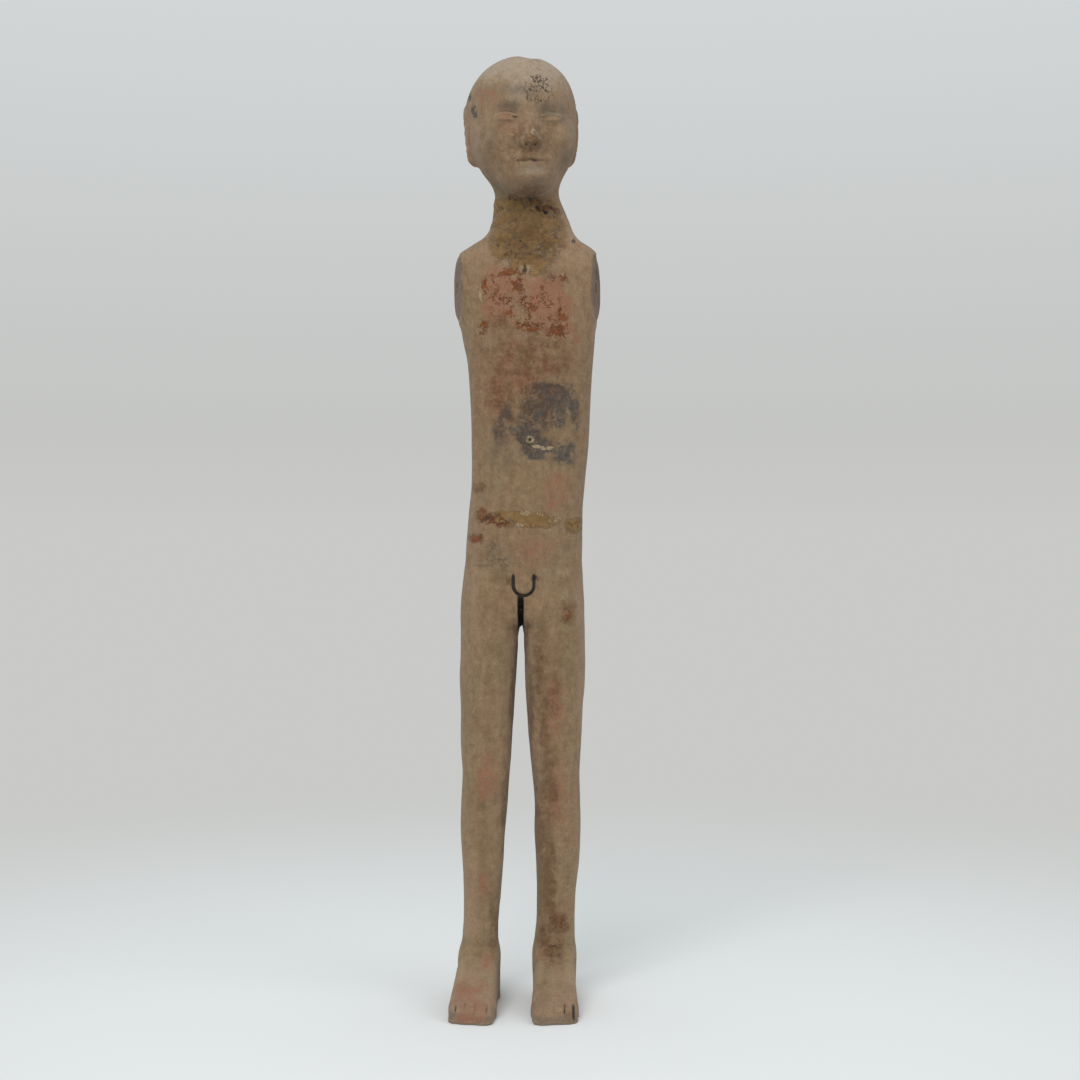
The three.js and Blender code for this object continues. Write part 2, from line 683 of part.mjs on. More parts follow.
const carved = toeGrooves(relief(navel(shoulders(slit(skin()))))).subtract(ground());
const geometry = geometryOf(carved);
geometry.computeBoundingBox();
const middle = geometry.boundingBox.getCenter(new THREE.Vector3());
geometry.translate(-middle.x, -middle.y, 0);

const clay = new THREE.MeshStandardMaterial({ color: 0x8b735a, roughness: 0.95, metalness: 0 });
clay.flatShading = true;
const mesh = new THREE.Mesh(geometry, clay);
mesh.name = "figure";

const group = new THREE.Group();
group.add(mesh);
export default group;
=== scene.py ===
"""A standing tomb figure of fired clay, with its worn and painted skin, on a plain studio floor.

The figure's form is a field: a function of place that is negative inside the clay. It is sampled
on a grid, drawn with quads, refined where the carving is fine and settled onto the field again.
"""

import math

import bmesh
import bpy
import numpy as np
from mathutils import Matrix, Vector


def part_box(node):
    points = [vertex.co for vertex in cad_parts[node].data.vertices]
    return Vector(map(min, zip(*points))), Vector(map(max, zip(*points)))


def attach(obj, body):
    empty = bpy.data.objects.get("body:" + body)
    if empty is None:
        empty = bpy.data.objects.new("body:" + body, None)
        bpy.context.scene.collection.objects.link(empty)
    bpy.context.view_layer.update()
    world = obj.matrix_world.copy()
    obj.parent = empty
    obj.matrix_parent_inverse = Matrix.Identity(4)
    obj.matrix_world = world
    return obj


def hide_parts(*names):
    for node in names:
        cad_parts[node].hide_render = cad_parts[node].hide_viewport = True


bl_info = {
    "name": "Terracotta tomb figure",
    "version": (1, 0, 0),
    "blender": (4, 5, 0),
    "location": "View3D > Sidebar > Tomb figure",
    "description": "Builds a worn standing figure of fired clay, and a plain studio round it",
    "category": "Add Mesh",
}

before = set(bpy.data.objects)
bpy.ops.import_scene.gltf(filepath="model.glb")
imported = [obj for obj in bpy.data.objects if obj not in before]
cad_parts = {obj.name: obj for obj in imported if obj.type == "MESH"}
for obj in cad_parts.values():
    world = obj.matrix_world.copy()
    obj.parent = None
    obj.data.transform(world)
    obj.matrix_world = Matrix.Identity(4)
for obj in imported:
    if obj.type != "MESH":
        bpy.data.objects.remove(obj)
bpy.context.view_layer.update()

# The form is written in shares, about a thousandth of the figure's height each, from a line on
# the ground between the ankles, as the solid's is. The height is in metres.
HEIGHT, CROWN = 0.596, 993
SHARE = HEIGHT / CROWN
FAR = 1e3
SECTION_SQUARENESS = 2.35

# Trunk from the groin to the shoulders: level, middle across, middle in depth, half the width,
# and how far the front and the back stand from that middle.
TRUNK = (
    (405, -3.0, -8, 61.8, 33, 34),
    (450, -1.6, -8, 61.6, 35, 39),
    (481, -1.0, -10, 61.2, 37, 37),
    (513, 0.5, -12, 60.0, 38, 31),
    (545, 3.2, -13, 59.8, 39, 27),
    (593, 5.3, -14, 61.7, 37, 25),
    (640, 5.5, -14, 63.6, 37, 28),
    (673, 5.3, -14, 66.0, 39, 32),
    (705, 3.7, -13, 70.4, 41, 36),
    (736, 2.6, -12, 73.0, 40, 37),
    (768, 2.0, -11, 74.5, 36, 36),
    (800, 2.5, -10, 75.0, 31, 32),
)
NECK = (
    (770, 5.0, -9, 52.0, 30, 31),
    (800, 6.6, -9, 45.0, 30, 31),
    (816, 6.4, -9, 42.3, 29, 30),
    (832, 5.3, -9, 37.4, 28, 30),
    (848, 2.4, -9, 34.2, 28, 30),
    (880, 1.0, -9, 33.0, 28, 30),
)
# Legs: level, middle and half width of the one on the -X side, the same of the one on the +X
# side, then middle, front and back in depth of both.
LEG_LEVELS = (
    (20, -48.5, 19.0, 30.8, 20.5, 0, 16, 22),
    (51, -47.8, 19.4, 30.8, 21.8, 0, 18, 22),
    (83, -46.8, 18.1, 32.4, 20.4, 0, 18, 20),
    (114, -45.2, 19.6, 33.0, 20.6, 0, 18, 22),
    (146, -44.7, 21.5, 34.4, 22.8, -1, 19, 27),
    (178, -44.7, 23.6, 34.2, 24.4, -2, 21, 30),
    (210, -43.0, 24.8, 34.2, 24.1, -3, 23, 27),
    (242, -41.2, 25.2, 32.6, 25.2, -4, 26, 23),
    (274, -40.9, 27.1, 31.9, 27.8, -4, 27, 26),
    (306, -39.9, 28.2, 31.4, 29.6, -5, 29, 28),
    (338, -39.3, 29.8, 31.5, 32.0, -6, 31, 31),
    (370, -37.7, 30.3, 31.4, 32.2, -7, 32, 33),
    (418, -36.7, 30.4, 30.3, 31.4, -8, 33, 35),
    (450, -34.0, 27.0, 28.0, 27.5, -9, 31, 34),
)
INSTEP = ((-40, 46), (0, 52), (25, 47), (50, 33), (75, 21), (100, 14), (112, 12))
HEEL, HEEL_HALF = -18, 18
BALL, BALL_HALF = 76, 24.5
TOES, TOE_SLANT, GROOVE_HALF = 103, 0.16, 1.2
FOOT_ROUND, TOE_ROUND = 11, 17
# Each foot: its ankle, how far it turns, which side its big toe is on, and the toes' grooves as
# places across the foot and depths.
FEET = (
    (-48.5, -0.06, 1, ((-15.5, 1.3), (-6.5, 1.2), (4, 1.2), (16, 1.5))),
    (31.0, 0.0, -1, ((-18.5, 3.2), (-9.5, 0.9), (1, 0.6), (13, 0.6))),
)
RIDGE_X, RIDGE_LEVEL, RIDGE_FALL, RIDGE_ROLL, RIDGE_ROUND = 5, 833, 0.6, 0.011, 8
WEB_FROM, WEB_TO, WEB_BLEND = 335, 400, 26
SLIT_MIDDLE, SLIT_HALF, SLIT_LEVEL, SLIT_FALL = -4.3, 3.2, 405.5, 0.53
# The round seats of the arms: middle, level, half the span between them, radius, lip, socket.
SEAT_X, SEAT_Y, SEAT_LEVEL = 2.3, -11, 752
SEAT_SPAN, SEAT_RADIUS, SEAT_LIP, SEAT_TURN = 73.06, 32.5, 1.5, 10
SOCKET_RADIUS, SOCKET_DEPTH = 6.25, 20
# How round the seats' edges are worn, on the -X and the +X side.
SEAT_EDGES = {-1: 6, 1: 2.2}
SHOULDER_REACH, SHOULDER_BLEND, SHOULDER_RIM = 62, 18, 1.2
RELIEF_X, RELIEF_LEVEL, RELIEF_HALF, RELIEF_STRAIGHT = -1.1, 439.5, 9.5, 9
NAVEL_X, NAVEL_LEVEL = 5.3, 590
HEAD_X, HEAD_Y, HEAD_LEVEL, HEAD_TALL = -2.7, -20, 842.5, 150
HEAD_TURN, HEAD_ROLL = 0.14, 0.02
BODY_MIDDLE = -2.6
CRACK_LEVEL, CRACK_HALF, CRACK_FROM, CRACK_TO = 831, 1.1, (0, 6), (40, 33)

# Levels between which each part is worked out, and where trunk, legs and neck end inside others.
SPANS = {
    "trunk": (380, math.inf),
    "neck": (760, math.inf),
    "legs": (-math.inf, 470),
    "carving": (320, 820),
    "head": (820, math.inf),
    "slit": (300, 470),
    "seats": (700, 810),
    "face": (835, math.inf),
    "toes": (-math.inf, 60),
}
TRUNK_END, LEG_END, NECK_END = 398, 455, 880
# How softly the parts melt into what is there already, and how round the sole's rim is.
NECK_BLEND, HIP_BLEND, HEAD_BLEND, ANKLE_BLEND, SOLE_ROUND = 10, 6, 12, 12, 1.5

# Fine carving of the head, from the chin and the head's middle.
EYE_X, EYE_HALF, EYE_LEVEL, BROW_LEVEL = 23, 11.5, 75.4, 90
MOUTH_HALF, MOUTH_LEVEL, LIP_HOLLOW, FURROW_LEVEL = 15, 29.6, 20.5, 39.5
NOSTRIL_X, NOSTRIL_LEVEL, WING_X, WING_LEVEL = 4.6, 45.2, 7.5, 48.5
EAR_Y, EAR_LEVEL, EAR_DEEP, EAR_TALL = 10, 70, 11, 31

# The hand's unevenness: height, size and seed of each kind of lump. Then how thick the neck's
# repair is at the front and at the back, the waist's, and the level between the two.
SWELLS = ((0.4, 45, 3), (0.22, 15, 4), (0.1, 6, 14))
REPAIR_LUMPS = ((1.2, 9, 8), (1.3, 4.5, 9), (0.7, 2.4, 10))
NECK_REPAIR, WAIST_REPAIR, NECK_REPAIR_FROM = (1.0, 0.4), 0.45, 700

# The sampled grid: its lowest corner, its far sides and what it has over the crown. Then the least
# slope and longest move when a place settles, and how far it is drawn to its neighbours' mean.
GRID_LOW, GRID_HIGH, GRID_SPARE = (-88, -128, -6), (86, 72), 8
LEAST_SLOPE, LONGEST_MOVE, EVENING = 0.3, 3, 0.6

# The studio, in metres: the floor and where it fades, how high the surroundings are dim and
# lighten, and the lights. The camera's lens is in pixels of the square picture.
FLOOR_RADIUS, FLOOR_FADE, SKY_STOPS = 12.0, (0.16, 0.95), (0.0225, 0.09, 0.31)
MAIN_LIGHT, SIDE_LIGHT, CHEST, LIGHT_SIZE = (-0.5, -1.4, 1.5), (1.3, -0.7, 0.9), (0, 0, 0.35), 1.0
HALF_PICTURE, LENS = 540, 1667

# Carving: balls and bars that are melted on or pressed in, one after the other. Every one off
# the middle has a twin. A ball has a middle and half sizes, a bar two ends and two radii, and
# the last number is how softly it melts in. The head's is measured from the chin.
HEAD_CARVING = (
    ("add", "ball", (0, 8, 92), (57, 59, 57), 1),
    ("add", "ball", (0, -9, 54), (51, 43, 51), 24),
    ("add", "ball", (0, -12, 106), (42, 39, 34), 22),
    ("add", "ball", (0, -34, 15), (25, 17, 15), 20),
    ("add", "ball", (30, -32, 52), (15, 14, 15), 20),
    ("cut", "ball", (24, -66, 76), (17, 15, 9), 16),
    ("add", "bar", (0, -49, 84), (0, -57, 55), (4.5, 6.5), 13),
    ("add", "ball", (0, -60, 50.5), (7.5, 7.5, 6), 6),
    ("add", "ball", (8, -56, 48.5), (5.5, 6, 4.8), 5),
    ("add", "ball", (23, -44.5, 75), (11.5, 8, 6.5), 5),
    ("add", "ball", (0, -45, 29), (22, 12, 14), 16),
    ("add", "bar", (0, -56, 33), (12, -53, 31), (3.2, 2), 4),
    ("add", "bar", (0, -55.5, 26), (10, -52.5, 28), (3.7, 2), 4),
    ("cut", "bar", (0, -60.6, 29.6), (13, -57.8, 29.6), (2.0, 1.0), 2),
    ("add", "ball", (50, 10, 70), (8, 12, 32), 8),
)
HAIR_AT, HAIR_SIZE = (0, 8, 92), (58.6, 60.8, 58)
HAIR_FRONT, HAIR_FALL = (-45, 124), 0.82
PARTING = ("cut", "bar", (7, -40, 156), (7, 0, 163.6), (14, 14), 6)
BODY_CARVING = (
    ("add", "ball", (30, 5, 432), (26, 30, 42), 18),
    ("cut", "bar", (0, 54, 474), (0, 42, 400), (3, 8), 14),
    ("cut", "bar", (0, 33, 760), (0, 20, 560), (6, 6), 16),
)

# Boxes in which the mesh is refined, once for each: lowest and highest corner.
FINE_BOXES = (
    ((-70, -90, 762), (70, 60, 1010)),
    ((-45, -60, 555), (62, -25, 650)),
    ((-30, -60, 330), (30, -10, 465)),
    ((-82, -130, -5), (62, -55, 40)),
    ((-90, -48, 715), (-60, 30, 790)),
    ((60, -48, 715), (90, 30, 790)),
    ((-42, -98, 858), (40, -52, 943)),
    ((-46, -52, 772), (54, -22, 846)),
    ((-22, -60, 420), (20, -30, 457)),
    ((-4, -60, 580), (15, -40, 600)),
    ((-75, -115, 5), (58, -85, 25)),
)

# Paint, slip, stains and repairs, with painted shade on the arm seats and between the thighs, as
# seen from the front: middle across, level, half width and half height of each blot, and how
# strong it is where that isn't one. Each is a squarish oval with a waving rim. All kinds but a few
# lie on the front alone.
ALL_ROUND = ("ochre", "warm", "dust")
BLOT_SQUARENESS, BLOT_WAVE, BLOT_WAVE_SIZE = 3, 2.4, 11
BLOTS = {
    "dust": (
        (0, 986, 66, 56), (-6, 942, 26, 14, 0.6), (8, 864, 20, 8, 0.6),
    ),
    "warm": (
        (4, 800, 90, 44), (0, 905, 60, 66, 0.6), (-56, 15, 40, 34), (32, 15, 36, 30),
        (-74, 715, 10, 60), (78, 715, 10, 60), (-54, 420, 9, 150, 0.3), (60, 380, 9, 150, 0.8),
        (-56, 105, 10, 70), (16, 478, 40, 20, 0.2),
    ),
    "pink": (
        (-22, 737, 32, 43), (24, 728, 32, 42), (46, 698, 14, 18, 0.7), (-37, 236, 16, 34, 0.8),
        (-14, 912, 20, 22, 0.32), (-56, 22, 26, 16, 0.55), (-38, 44, 11, 11, 0.6),
        (-43, 125, 7, 26, 0.6), (32, 315, 12, 44, 0.7), (32, 536, 22, 30, 0.55),
        (8, 474, 40, 22, 0.35), (33, 220, 12, 50, 0.6), (-52, 6, 26, 6, 0.8),
        (-36, 940, 22, 26, 0.35), (2, 660, 64, 56, 0.42), (-26, 640, 24, 50, 0.35),
    ),
    "rust": (
        (-9, 750, 9, 11, 1.3), (-16, 764, 20, 6, 0.9), (-41, 750, 8, 16, 0.9), (-1, 735, 8, 5, 1.2),
        (9, 727, 10, 6, 1.3), (-17, 720.5, 11, 4.5, 1.1), (4, 706.5, 15, 9, 1.4),
        (39.5, 716, 6.5, 15, 1.4), (34, 700, 13, 7, 1.3), (-42, 709, 7, 10, 1.1),
        (18, 745, 5, 8, 1.1), (40, 757, 7, 8, 0.8), (-26, 742, 24, 28, 0.34),
        (18, 722, 28, 28, 0.34), (-44, 514, 10, 7, 1.2), (-36, 508, 15, 7, 1.3),
        (-24, 504, 10, 5), (-51, 489, 10, 5, 1.3), (46, 409, 6, 12, 0.75),
        (24, 831, 16, 4, 0.7), (50, 503, 7, 5), (35, 84, 10, 8, 0.9),
    ),
    "ochre": (
        (2, 806, 46, 44, 1.2), (6, 774, 26, 16), (-14, 834, 36, 14, 0.8), (5, 507, 36, 10, 1.2),
        (50.5, 502, 11, 11), (-34, 510, 24, 8, 0.9),
    ),
    "olive": (
        (30, 759, 18, 16), (-26, 708, 12, 11), (-40, 947, 20, 9, 0.8), (4, 804, 40, 38, 0.7),
        (-44, 180, 10, 90, 0.6), (-30, 380, 22, 60, 0.6), (40, 370, 22, 60, 0.6), (8, 901, 6, 10),
        # The blots at -73 and 77 across, level 752, darken the arm seats: greenish stain, and painted
        # shade on seats that face sideways.
        (-73, 752, 8, 38, 1.6), (77, 752, 8, 38, 1.2), (-30, 855, 26, 22, 0.6),
        (-24, 440, 14, 30, 0.7), (18, 370, 9, 70, 0.8), (20, 30, 10, 22, 0.7),
    ),
    "soot": (
        (26, 635, 35, 17, 1.35), (20, 616, 30, 20, 1.15), (52, 618, 7, 24, 1.05),
        (4, 618, 13, 30, 1.2), (2, 597, 19, 17, 1.4), (12, 582, 21, 15, 1.2),
        (40, 577, 16, 16, 1.1), (-20, 613, 13, 24, 0.6), (-26, 596, 12, 18, 0.45),
    ),
    "dusk": (
        # The first two blots darken the arm seats: grey dirt, and painted shade on seats that face
        # sideways.
        (-73, 748, 12, 40, 1.2), (77, 752, 9, 40, 1.3), (28, 926, 20, 13, 0.9),
        (-16, 929, 18, 9, 0.9), (-36, 895, 14, 20, 0.45), (46, 884, 15, 34, 0.45),
        (9, 850, 22, 9, 0.6), (-58, 5, 42, 7, 1.2), (31, 4, 36, 7, 1.2), (-56, 860, 8, 40, 0.5),
        (-4, 944, 30, 12, 0.5), (-28, 468, 24, 18, 0.35), (-22, 574, 20, 18, 0.5),
    ),
    "brown": (
        (21, 126, 13, 52, 2), (34, 84, 17, 14, 1.7), (46, 412, 12, 18, 0.65),
        (24, 235, 13, 50, 0.9), (20, 182, 13, 34), (22, 72, 13, 22, 0.9), (-26, 640, 26, 56, 0.5),
        (30, 325, 9, 30, 0.6), (2, 890, 46, 36, 0.6), (-26, 712, 16, 16, 0.6),
        (14, 345, 8, 60, 0.6), (21, 300, 9, 56, 0.7), (9, 841, 18, 12, 0.8), (30, 56, 16, 16, 0.9),
        (-32, 90, 8, 50, 0.7), (24, 831, 18, 5), (-47, 541, 10, 7, 1.2), (-52, 489, 12, 6),
        # The narrow strips at -9, -13 and -20 across here, and at 0.5, 6 and 11 on the next line, run
        # along the inner edges of the thighs: dark brown stain, and painted shade in the gap between
        # the legs.
        (-12, 780, 17, 7, 0.8), (-9, 385, 4, 44, 1.2), (-13, 300, 4, 70, 1.1), (-20, 190, 5, 80),
        (0.5, 385, 4, 44, 1.2), (6, 300, 4, 70, 1.1), (11, 190, 6, 80, 1.1), (5, 672, 64, 46, 0.6),
        (4, 802, 46, 40, 0.6), (4, 640, 92, 96, 0.4), (-14, 444, 6, 7), (12, 447, 6, 6),
        # These two darken the arm seats: brown stain, and painted shade on seats that face sideways.
        (-73, 752, 8, 38, 1.5), (77, 752, 8, 38, 1.6),
    ),
    "black": (
        (-53, 930, 5, 12), (-57, 948, 3, 8), (8, 840, 7, 5, 0.6), (-15, 842, 3, 5, 0.6),
        (49, 799, 4, 6), (8, 900, 2.5, 3), (0, 734, 4, 2.2), (9, 727, 6, 2.4), (36, 706, 3, 6, 0.8),
        (8, 707, 8, 2, 0.8), (9.8, 447, 3.6, 3.4, 1.6), (-51, 489, 4, 2), (-73, 750, 3, 8, 0.9),
        (77, 765, 3, 10), (-40, 510, 10, 2, 0.8),
    ),
    "ink": (
        (14, 947, 17, 18, 2), (-26, 463, 28, 12, 0.6), (-34, 890, 9, 14, 0.4),
        (-34, 480, 10, 16, 0.6), (30, 757, 14, 12, 0.8), (-24, 672, 28, 14, 0.4),
        (34, 668, 26, 12, 0.4), (33, 55, 14, 12, 0.8), (22, 690, 34, 10, 0.5),
        (-10, 806, 34, 30, 0.35), (-56, 320, 9, 50, 0.45),
    ),
    "pale": (
        (18, 583, 14, 2.4, 2.2), (-1, 514, 10, 4, 1.3), (14, 513, 8, 3, 1.2), (-4, 502, 12, 3, 1.3),
        (-47, 742, 3, 22, 0.8), (1, 768, 13, 8, 0.8), (8, 902, 4, 10, 0.8), (30, 508, 14, 5),
        (5.3, 590, 6, 6, 1.3),
    ),
}


def smooth_min(a, b, blend):
    near = np.maximum(blend - np.abs(a - b), 0) / blend
    return np.minimum(a, b) - near * near * blend / 4


def smooth_max(a, b, blend):
    return -smooth_min(-a, -b, blend)


def mix(a, b, share):
    return a + (b - a) * share


def smoothstep(low, high, value):
    share = np.clip((value - low) / (high - low), 0, 1)
    return share * share * (3 - 2 * share)


def hump(distance, half):
    """One in the middle, falling smoothly to nought at the half width."""
    return np.clip(1 - (distance / half) ** 2, 0, 1) ** 2


def within(z, name):
    low, high = SPANS[name]
    return (z > low) & (z < high)


def spline(rows):
    """A smooth curve through rows of a place and its values, level beyond both ends."""
    table = np.array(rows, dtype=float)
    knots, values = table[:, 0], table[:, 1:]
    chords = np.diff(values, axis=0) / np.diff(knots)[:, None]
    slopes = np.vstack([chords[:1], (chords[1:] + chords[:-1]) / 2, chords[-1:]])

    def at(place):
        place = np.clip(place, knots[0], knots[-1])
        i = np.clip(np.searchsorted(knots, place, side="right") - 1, 0, len(knots) - 2)
        width = (knots[i + 1] - knots[i])[:, None]
        t = (place - knots[i])[:, None] / width
        ease = t * t * (3 - 2 * t)
        bend = (t * (1 - t) ** 2 * slopes[i] - t * t * (1 - t) * slopes[i + 1]) * width
        return (mix(values[i], values[i + 1], ease) + bend).T

    return at


def ball(p, middle, size):
    """About the distance to a ball with three half sizes."""
    scaled = [(p[i] - middle[i]) / size[i] for i in range(3)]
    reach = np.sqrt(sum(value**2 for value in scaled))
    slope = np.sqrt(sum((value / half) ** 2 for value, half in zip(scaled, size)))
    return reach * (reach - 1) / np.maximum(slope, 1e-9)


def bar(p, start, end, radii):
    """Distance to a round bar between two ends, each with its radius."""
    way = np.subtract(end, start)
    offset = [p[i] - start[i] for i in range(3)]
    t = np.clip(sum(offset[i] * way[i] for i in range(3)) / np.dot(way, way), 0, 1)
    distance = np.sqrt(sum((offset[i] - way[i] * t) ** 2 for i in range(3)))
    return distance - mix(radii[0], radii[1], t)


def carve(field, p, feature, twins=True):
    """Melts one ball or bar onto the form, or presses it in, on both sides where it is a pair."""
    act, shape, *places, blend = feature
    middle = places[0] if shape == "ball" else places[1]
    q = (np.abs(p[0]), p[1], p[2]) if twins and middle[0] > 0 else p
    value = ball(q, *places) if shape == "ball" else bar(q, *places)
    if act == "add":
        return smooth_min(field, value, blend)
    return smooth_max(field, -value, blend)


def loft(rows):
    """Distance to a form given by squarish oval sections at rising levels."""
    section = spline(rows)

    def distance(p):
        x, y, z = p
        middle, depth_middle, half, front, back = section(z)
        depth = np.where(y < depth_middle, front, back)
        u, v = np.abs(x - middle) / half, np.abs(y - depth_middle) / depth
        n = SECTION_SQUARENESS
        reach = np.maximum((u**n + v**n) ** (1 / n), 1e-6)
        slope = np.hypot(u ** (n - 1) / half, v ** (n - 1) / depth) * reach ** (1 - n)
        return (reach - 1) / np.maximum(slope, 1e-9)

    return distance


TRUNK_FORM = loft(TRUNK)
NECK_FORM = loft(NECK)
LEG_FORMS = (
    loft([(z, x, y, half, front, back) for z, x, half, _, _, y, front, back in LEG_LEVELS]),
    loft([(z, x, y, half, front, back) for z, _, _, x, half, y, front, back in LEG_LEVELS]),
)
INSTEP_LINE = spline(INSTEP)
HEAD_PLACE = (
    Matrix.Translation((HEAD_X, HEAD_Y, HEAD_LEVEL + HEAD_TALL / 2))
    @ Matrix.Rotation(HEAD_TURN, 4, "Z")
    @ Matrix.Rotation(-HEAD_ROLL, 4, "Y")
    @ Matrix.Translation((0, 0, -HEAD_TALL / 2))
)
TO_HEAD = np.array(HEAD_PLACE.inverted())


def in_head(p):
    """A place measured from the chin, in the head's own frame."""
    return TO_HEAD[:3, :3] @ p + TO_HEAD[:3, 3:]


def along_foot(p, ankle, turn):
    """How far a place is across one foot, and along it from the ankle."""
    dx, dy = p[0] - ankle, -p[1]
    c, s = math.cos(turn), math.sin(turn)
    return dx * c - dy * s, dy * c + dx * s


def trunk(p):
    """The trunk and its shoulders, under a ridge that falls to both sides."""
    x, y, z = p
    away = np.abs(x - SEAT_X)
    slope = RIDGE_FALL * np.abs(x - RIDGE_X) + RIDGE_ROLL * (y - SEAT_Y) ** 2
    ridge = z - RIDGE_LEVEL + slope
    inner, outer = (0, SEAT_Y, SEAT_LEVEL), (SHOULDER_REACH, SEAT_Y, SEAT_LEVEL)
    radius = SEAT_RADIUS - SHOULDER_RIM
    shoulder = bar((away, y, z), inner, outer, (radius, radius))
    field = smooth_min(TRUNK_FORM(p), shoulder, SHOULDER_BLEND)
    return smooth_max(field, ridge / math.hypot(1, RIDGE_FALL), RIDGE_ROUND)


def foot(p, stance):
    """One flat foot, with its toes cut off at a slant."""
    ankle, turn, big_toe, _ = stance
    side, along = along_foot(p, ankle, turn)
    t = np.clip((along - HEEL) / (BALL - HEEL), 0, 1)
    plan = np.hypot(side, along - mix(HEEL, BALL, t)) - mix(HEEL_HALF, BALL_HALF, t)
    sides = np.abs(side) - BALL_HALF * 0.95
    slant = TOES - TOE_SLANT * np.maximum(0, 12 - side * big_toe)
    outline = smooth_max(np.where(along > BALL, sides, plan), along - slant, 9)
    top = (p[2] - INSTEP_LINE(along)[0]) * 0.85
    return smooth_max(outline, top, mix(FOOT_ROUND, TOE_ROUND, smoothstep(BALL - 6, TOES, along)))


def legs(p):
    """Both legs with their feet, melted together under the groin."""
    pair = []
    for form, stance in zip(LEG_FORMS, FEET):
        shank = smooth_max(form(p), p[2] - LEG_END, 4)
        pair.append(smooth_min(shank, foot(p, stance), ANKLE_BLEND))
    web = WEB_BLEND * smoothstep(WEB_FROM, WEB_TO, p[2])
    return smooth_min(pair[0], pair[1], np.maximum(web, 0.01))


def head(p, detail):
    """The head and its close cap of hair, whose edge is sharper in detail."""
    q = in_head(p)
    edge = mix(8, 2.5, detail)
    hairline = HAIR_FRONT[1] - q[2] + HAIR_FALL * (HAIR_FRONT[0] - q[1])
    skull = np.full(q.shape[1], FAR)
    for feature in HEAD_CARVING:
        skull = carve(skull, q, feature)
    cap = smooth_max(ball(q, HAIR_AT, HAIR_SIZE), hairline / math.hypot(1, HAIR_FALL), edge)
    return carve(smooth_min(skull, cap, edge / 2), q, PARTING, twins=False)


def arm_seat(field, p, side):
    """The round seat of one arm, standing in a shallow room, with the socket of its pin."""
    angle = math.radians(SEAT_TURN)
    dx, dy = p[0] - SEAT_X - side * SEAT_SPAN, p[1] - SEAT_Y
    out = side * dx * math.cos(angle) - dy * math.sin(angle)
    across = side * dx * math.sin(angle) + dy * math.cos(angle)
    radius = np.hypot(across, p[2] - SEAT_LEVEL)
    rim = SEAT_RADIUS * (1.03 + 0.22 * (out + SEAT_LIP) / (3.4 * SEAT_LIP))
    room = np.maximum(-SEAT_LIP - out, radius - np.minimum(rim, SEAT_RADIUS * 1.25))
    edge = SEAT_EDGES[side]
    seat = smooth_max(smooth_max(radius - SEAT_RADIUS, out, edge), -SEAT_RADIUS / 2 - out, 1)
    socket = np.maximum(radius - SOCKET_RADIUS, -SOCKET_DEPTH - out)
    field = smooth_max(field, -room, edge)
    return smooth_max(smooth_min(field, seat, edge), -socket, 1.4)


def slit(field, p):
    """The slit between the thighs, whose ceiling falls towards the back."""
    x, y, z = p
    ceiling = (z - SLIT_LEVEL + SLIT_FALL * y) / math.hypot(1, SLIT_FALL)
    narrow = 0.75 * smoothstep(-20, 0, ceiling) * smoothstep(-15, 10, y)
    side = np.abs(x - SLIT_MIDDLE) - SLIT_HALF * (1 - narrow)
    return smooth_max(field, -smooth_max(side, ceiling, mix(3, 1, narrow)), mix(3, 1, narrow))


def eye_cuts(q):
    """Almond openings that leave the lids standing, and the soft folds round them."""
    x, y, z = q
    along = (np.abs(x) - EYE_X) / EYE_HALF
    arch = np.clip(1 - along**2, 0, 1)
    upper = EYE_LEVEL + 2.9 * arch + 0.5 * along
    lower = EYE_LEVEL - 2.0 * arch + 0.5 * along
    opening = smoothstep(-0.4, 1.0, np.minimum(upper - z, z - lower))
    corner = 0.5 * hump(np.hypot(np.abs(along) - 0.93, (z - EYE_LEVEL) / 4), 0.3)
    fold = 0.55 * hump(z - upper - 3.6, 2.0) * np.sqrt(arch)
    bag = 0.3 * hump(z - lower + 3.2, 2.4) * np.sqrt(arch)
    brow = -0.7 * hump((z - BROW_LEVEL + 5 * along**2) / 6, 1) * hump(along - 0.1, 1.5)
    return opening * (np.abs(along) < 1) + corner + fold + bag + brow


def mouth_cuts(q):
    """The line of the mouth, its corners, the hollow under the lip and the furrow over it."""
    x, y, z = q
    width = np.clip(1 - (x / MOUTH_HALF) ** 2, 0, 1)
    wave = 0.8 * hump(x, 5)
    line = 0.7 * hump(z - MOUTH_LEVEL - wave - 0.4 * (x / 14) ** 2, 1.5) * np.sqrt(width)
    corners = 0.6 * hump(np.hypot(np.abs(x) - 14, z - 30), 3.2)
    under = 0.9 * hump(z - LIP_HOLLOW, 5) * width
    furrow = 0.55 * hump(x, 3.2) * hump(z - FURROW_LEVEL, 6)
    return line + corners + under + furrow


def nose_cuts(q):
    """The nostrils and the creases round the nose's wings."""
    x, y, z = q
    side = np.abs(x)
    nostril = hump(np.hypot(side - NOSTRIL_X, (z - NOSTRIL_LEVEL) * 1.3), 2.8)
    wing = 0.45 * hump(np.hypot(side - WING_X, z - WING_LEVEL) - 6.4, 2.0) * smoothstep(6, 9, side)
    return nostril * smoothstep(52, 56, -y) + wing * smoothstep(40, 45, -y)


def ear_cuts(q):
    """A raised rim and the hollow inside it."""
    x, y, z = q
    away = np.hypot((y - EAR_Y) / EAR_DEEP, (z - EAR_LEVEL) / EAR_TALL)
    rim = -1.9 * hump(away - 0.84, 0.24)
    bowl = 3.4 * hump(away, 0.62)
    return (rim + bowl) * smoothstep(47, 53, np.abs(x))


